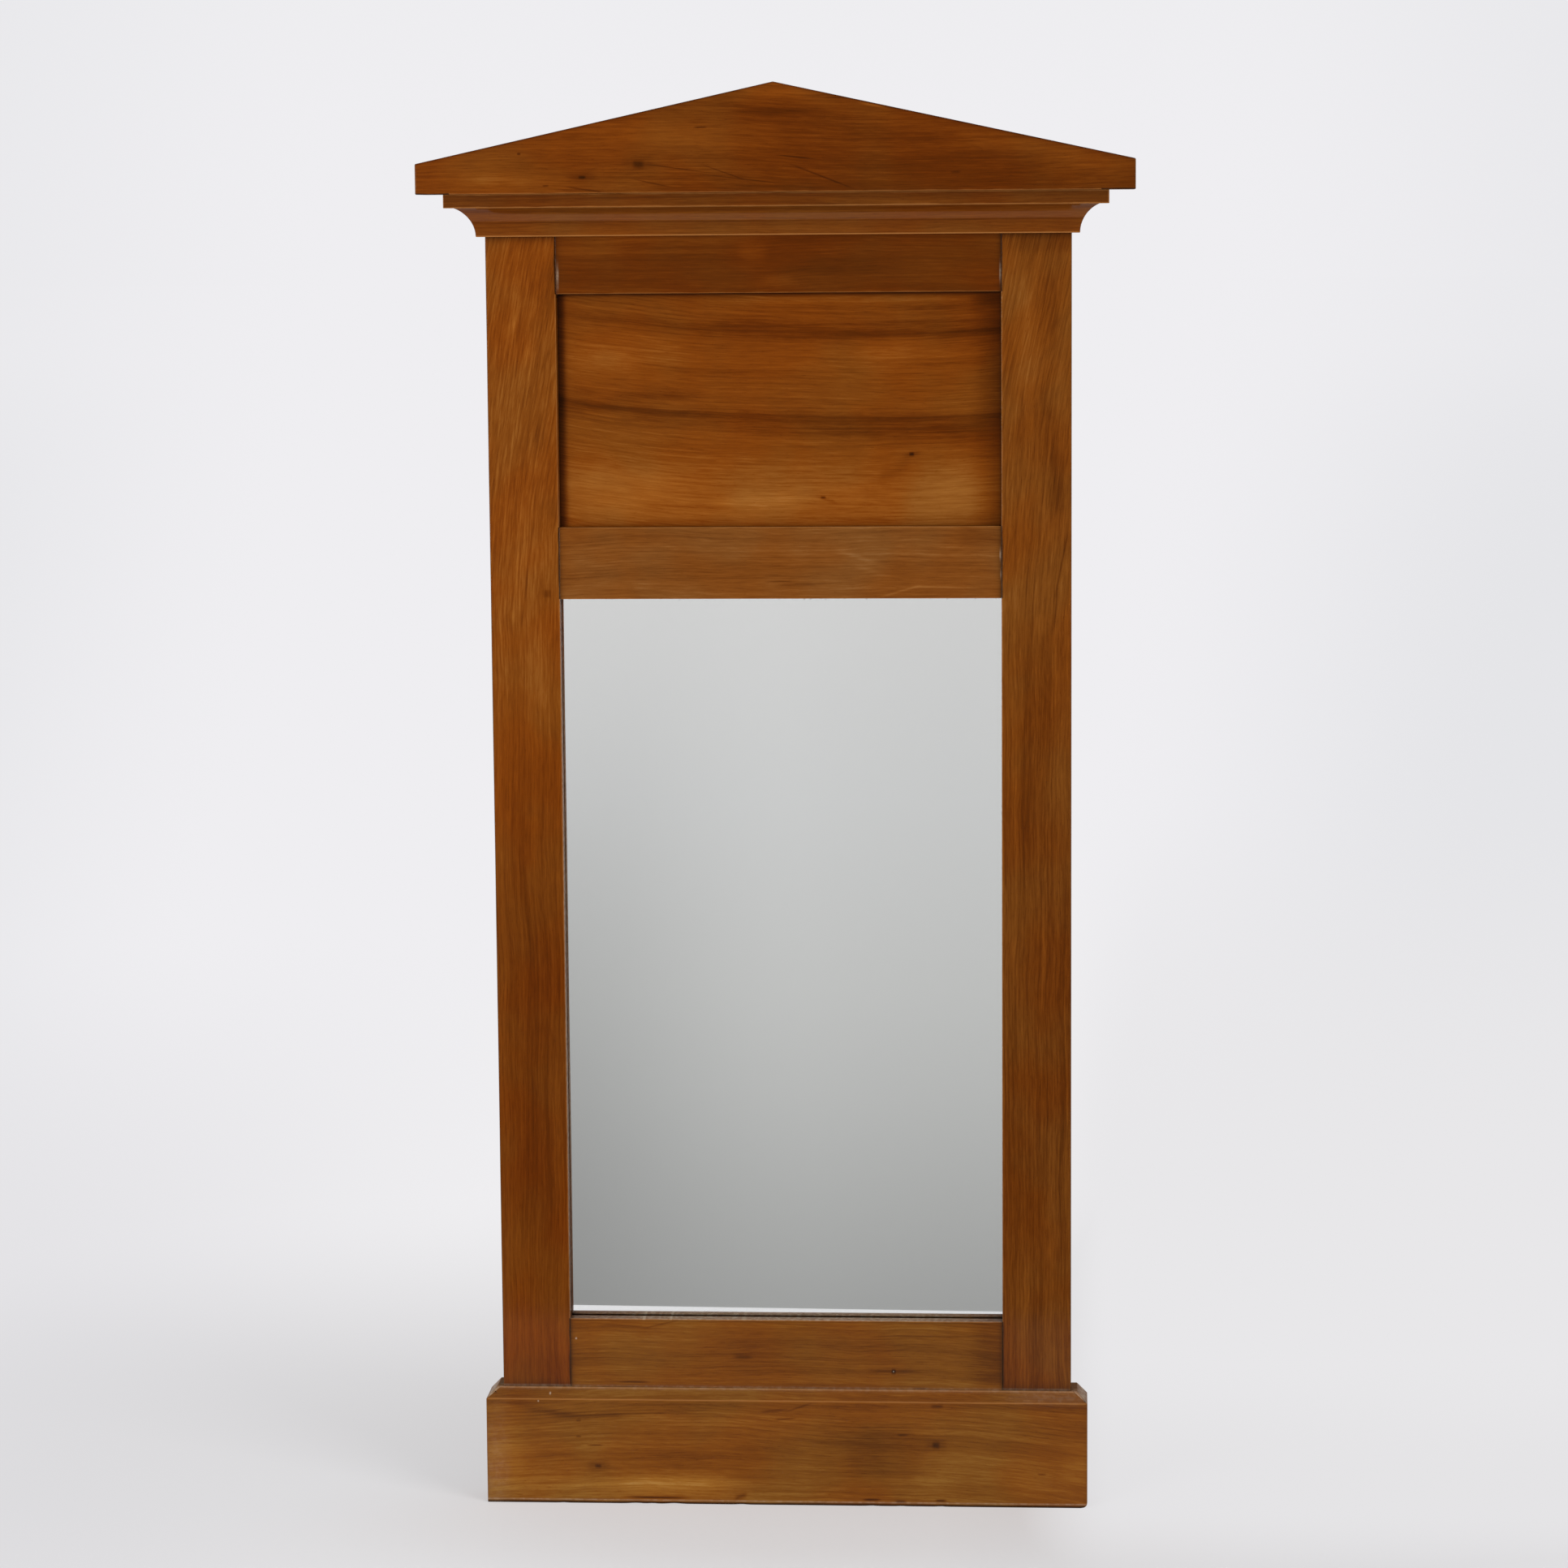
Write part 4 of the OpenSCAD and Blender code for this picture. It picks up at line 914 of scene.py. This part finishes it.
# Painted light along the hollow: a painted highlight on its lower lip, painted shade under the flat board,
# a pale band of painted reflection below that with a dark line at its lower edge, and a little painted
# light near the foot
hollow_painted_light = dict(
    edge_lines=[(COVE_FOOT + 0.5 * MM, 0.8 * MM, 0.8)],
    spots=[(0, 1006, FULL, 1.8, -5), (0, 1001.2, FULL, 3.2, 7), (0, 997.2, FULL, 0.6, -10),
           (0, 990, FULL, 3, 3)])
for node, grain, seed, tone in cornice_looks:
    material = fruitwood(node, grain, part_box(node), seed, tone=tone, contrast=0.6, mottle=0.08,
                         streaky=0.25, waviness=0.5, flow=(0, 0, 0.01, -10), gloss=0.30, rub=0.6,
                         tint=(1, 1.12, 1.5, 1), polish=0.35,
                         **(hollow_painted_light if node.startswith("cove") else {}))
    finish_piece(node, material, "moulding_cherry", 0.6, seed)

# %% [markdown]
# ## Gable
#
# The gable is one broad board with returns behind its ends. Two knots sit low on the left, and fine
# dark lines run away from them to the right, as the grain does round a branch.

# %% Gable
gable_spots = [
    (-143.5, 1030.5, 2.6, 1.1, -26), (-143.5, 1030.5, 11, 3, -10), (-101, 1039.7, 4, 2.6, -20),
    (-101, 1040, 12, 5.5, -7), (-54.3, 1066.7, 4.5, 0.7, -22), (-190.7, 1048.2, 1.2, 0.8, -26),
    (-171, 1024.4, 2.2, 0.6, -22), (-140.5, 1021.2, 13, 0.6, -18, -0.14),
    (-74.3, 1036.8, 21, 0.4, -20, -0.14), (-25, 1028.5, 26, 0.4, -16, -0.12),
    (-36.8, 1033.2, 14, 0.4, -16, -0.36), (-91.3, 1025.8, 13, 0.5, -16, -0.22),
    (16.2, 1044.3, 13, 0.5, -20, -0.11), (36.1, 1029.8, 21, 0.6, -18, -0.39), (0, 1077.9, 30, 2.2, -10),
    (116, 1051.1, 80, 4, 7), (135.8, 1032.1, 3.5, 1.2, -12), (-230, 1035, 40, 16, 6),
    (74.5, 1081.9, 10, 0.9, 20, -0.2), (-30, 1056, 80, 5, 5), (4, 1093, 30, 7, 12),
    (140, 1062, 130, 8, 11, -0.21), (235, 1033, 36, 12, 9), (-95, 1059, 90, 8, 8, 0.05),
    (-195, 1027, 40, 9, 8), (-10, 1021.5, 90, 3, -7),
]
gable_low, gable_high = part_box("pediment_board")
GABLE_SLOPE = 0.218
GABLE_HALF, GABLE_TIP = gable_high.x / MM, gable_high.z / MM
JOINT_MIDDLE, JOINT_HALF = 0.262, 0.018
joints = []
# On each side a dark line under the rake, one down the end, and a joint line at the foot
for side in (-1, 1):
    middle = side * GABLE_HALF / 2
    rake = GABLE_TIP - GABLE_SLOPE * abs(middle)
    gable_spots.append((middle, rake, 165, 1.1, -20, -side * GABLE_SLOPE))
    gable_spots.append((side * GABLE_HALF, 1030, 1, FULL, -20))
    joints.append((gable_low.z, side * JOINT_MIDDLE - JOINT_HALF, side * JOINT_MIDDLE + JOINT_HALF))
material = fruitwood("pediment_board", "x", (gable_low, gable_high), 93.7, tone=0.475,
                     drift=(-0.12, 0.12, -0.09), flow=(-0.03, 0.06, -0.16, 0), spots=gable_spots,
                     contrast=0.7, streaky=0.30, mottle=0.12, waviness=0.6, joints=joints)
finish_piece("pediment_board", material, "pediment_cherry", 1, seed=9)
for node, seed in (("pediment_left_return", 95.1), ("pediment_right_return", 98.6)):
    material = fruitwood(node, "y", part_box(node), seed, tone=0.47, contrast=0.8, mottle=0.1)
    finish_piece(node, material, "pediment_cherry", 0.8, seed)

# %% [markdown]
# ## Glass and silvering
#
# A mirror is two things: a clear plate, and a bright coat on its back. Modelled as two, the glass shows
# its thickness at the foot, where the rail's edge is reflected a little below the real one. The coat
# has aged a little along its rim.

# %% Mirror plate
BACK_GAP = 0.05 * MM
CLEAR, SILVER, AGED = (0.985, 0.988, 0.985, 1), (0.928, 0.934, 0.936, 1), (0.10, 0.09, 0.07, 1)
AGED_RIM, AGED_SHARE, SPECK_RANGE = (9 * MM, 6 * MM), 0.7, (0.60, 0.70)
glass_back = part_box("mirror_glass")[1].y


def clear_of_silvering(points):
    """Moves the plate's back forward by a hair, so that light meets the glass and its coat in turn."""
    moved = points.astype(float)
    moved[:, 1] -= BACK_GAP * (points[:, 1] > glass_back - BACK_GAP)
    return moved


clear, sheet, place = new_material("clear_glass")
wavy = sheet.noise(place, scale=6, detail=1)
sheet.principled({"Base Color": CLEAR, "Roughness": 0, "IOR": 1.5, "Transmission Weight": 1,
                  "Normal": sheet.bump(wavy, 0.05, 0.4 * MM)})
finish_piece("mirror_glass", clear, "glass", 0.3, wear=clear_of_silvering)

silver, sheet, place = new_material("silvering")
low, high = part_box("mirror_silvering")
rim = sheet.group(distance_tree, Place=place, Low=(low.x, -WIDE, low.z), High=(high.x, WIDE, high.z))
specks = sheet.ease(sheet.noise(place, scale=420, detail=2), *SPECK_RANGE)
aged = sheet.times(specks, sheet.ease(rim["Nearest"], *AGED_RIM))
colour = sheet.blend(sheet.times(aged, AGED_SHARE), SILVER, AGED)
sheet.principled({"Base Color": colour, "Metallic": 1, "Roughness": 0})
dress(nodes["mirror_silvering"], silver)

# %% [markdown]
# ## Softwood behind
#
# The backboards, wedges and glue blocks are bare softwood that has gone grey-brown with age. It uses
# the same grain group, with wide, strong growth lines and no polish.

# %% Softwood
SPRUCE = [(0, linear(92, 66, 40)), (0.4, linear(158, 124, 84)), (0.7, linear(190, 158, 114)),
          (1, linear(212, 186, 146))]
OLD_DUST, OLD_DUST_RANGE = linear(112, 94, 74), (0.35, 0.75, 0, 0.55)


def softwood(name, grain, seed, tint=(1, 1, 1, 1)):
    """Bare, aged softwood with strong growth lines."""
    made, sheet, place = new_material(name)
    axes = sheet.split(place)
    along, across, depth = (axes[i] for i in DIRECTIONS[grain])
    figure = sheet.group(grain_tree, Along=along, Across=across, Depth=depth, Seed=seed, Waviness=1.2,
                         Ring_Spacing=0.0048, Curve=0.15)
    value = 0.25
    for key, weight in (("Streaks", 0.5), ("Lines", -0.45), ("Fibres", 0.3)):
        value = sheet.times(figure[key], weight, value)
    dust = sheet.ease(sheet.noise(place, scale=9, detail=4), *OLD_DUST_RANGE)
    colour = sheet.blend(dust, sheet.ramp(value, SPRUCE), OLD_DUST)
    colour = sheet.blend(1, colour, tint, "MULTIPLY")
    relief = sheet.times(figure["Lines"], -0.4, figure["Fibres"])
    sheet.principled({"Base Color": colour, "Roughness": 0.78, "Normal": sheet.bump(relief, 0.5, 0.3 * MM)})
    return made


for node, seed in (("backboard_top", 101), ("backboard_middle", 104), ("backboard_bottom", 107)):
    finish_piece(node, softwood(node, "x", seed), "spruce", 0.5, seed)
for node, seed in (("glass_wedges", 111), ("plinth_blocks", 114), ("pediment_blocks", 117)):
    dress(nodes[node], softwood(node, "x", seed, tint=(0.9, 0.88, 0.85, 1)))

# %% [markdown]
# ## Iron and brass
#
# The nails, pins and screws are plain iron with a brown skin. The hangers are old brass, dull and brown
# in some patches and brighter in others.

# %% Metals
SKIN_RANGE, FINE_SCALE = (0.35, 0.65), 9


def old_metal(name, bright, dull, roughness, scale):
    """A metal whose skin is patchy: noise blends a bright and a dull colour and the roughness."""
    made, sheet, place = new_material(name)
    skin = sheet.ease(sheet.noise(place, scale=scale, detail=5, roughness=0.65), *SKIN_RANGE)
    fine = sheet.noise(place, scale=scale * FINE_SCALE, detail=2)
    rough = sheet.plus(sheet.times(skin, 0.25, roughness), sheet.times(fine, 0.1))
    sheet.principled({"Base Color": sheet.blend(skin, bright, dull), "Metallic": 1, "Roughness": rough,
                      "Normal": sheet.bump(fine, 0.25, 0.1 * MM)})
    return made


iron = old_metal("old_iron", linear(120, 112, 104), linear(70, 52, 40), 0.42, 300)
brass = old_metal("old_brass", linear(196, 158, 92), linear(122, 92, 52), 0.30, 160)
for node in ("backboard_nails", "plinth_pins", "cove_pins", "cornice_nails", "hanger_screws"):
    dress(nodes[node], iron)
for side in ("left", "right"):
    finish_piece(side + "_hanger_strap", brass, "brass", 0.25, seed=4)
    dress(nodes[side + "_hanger_ring"], brass)
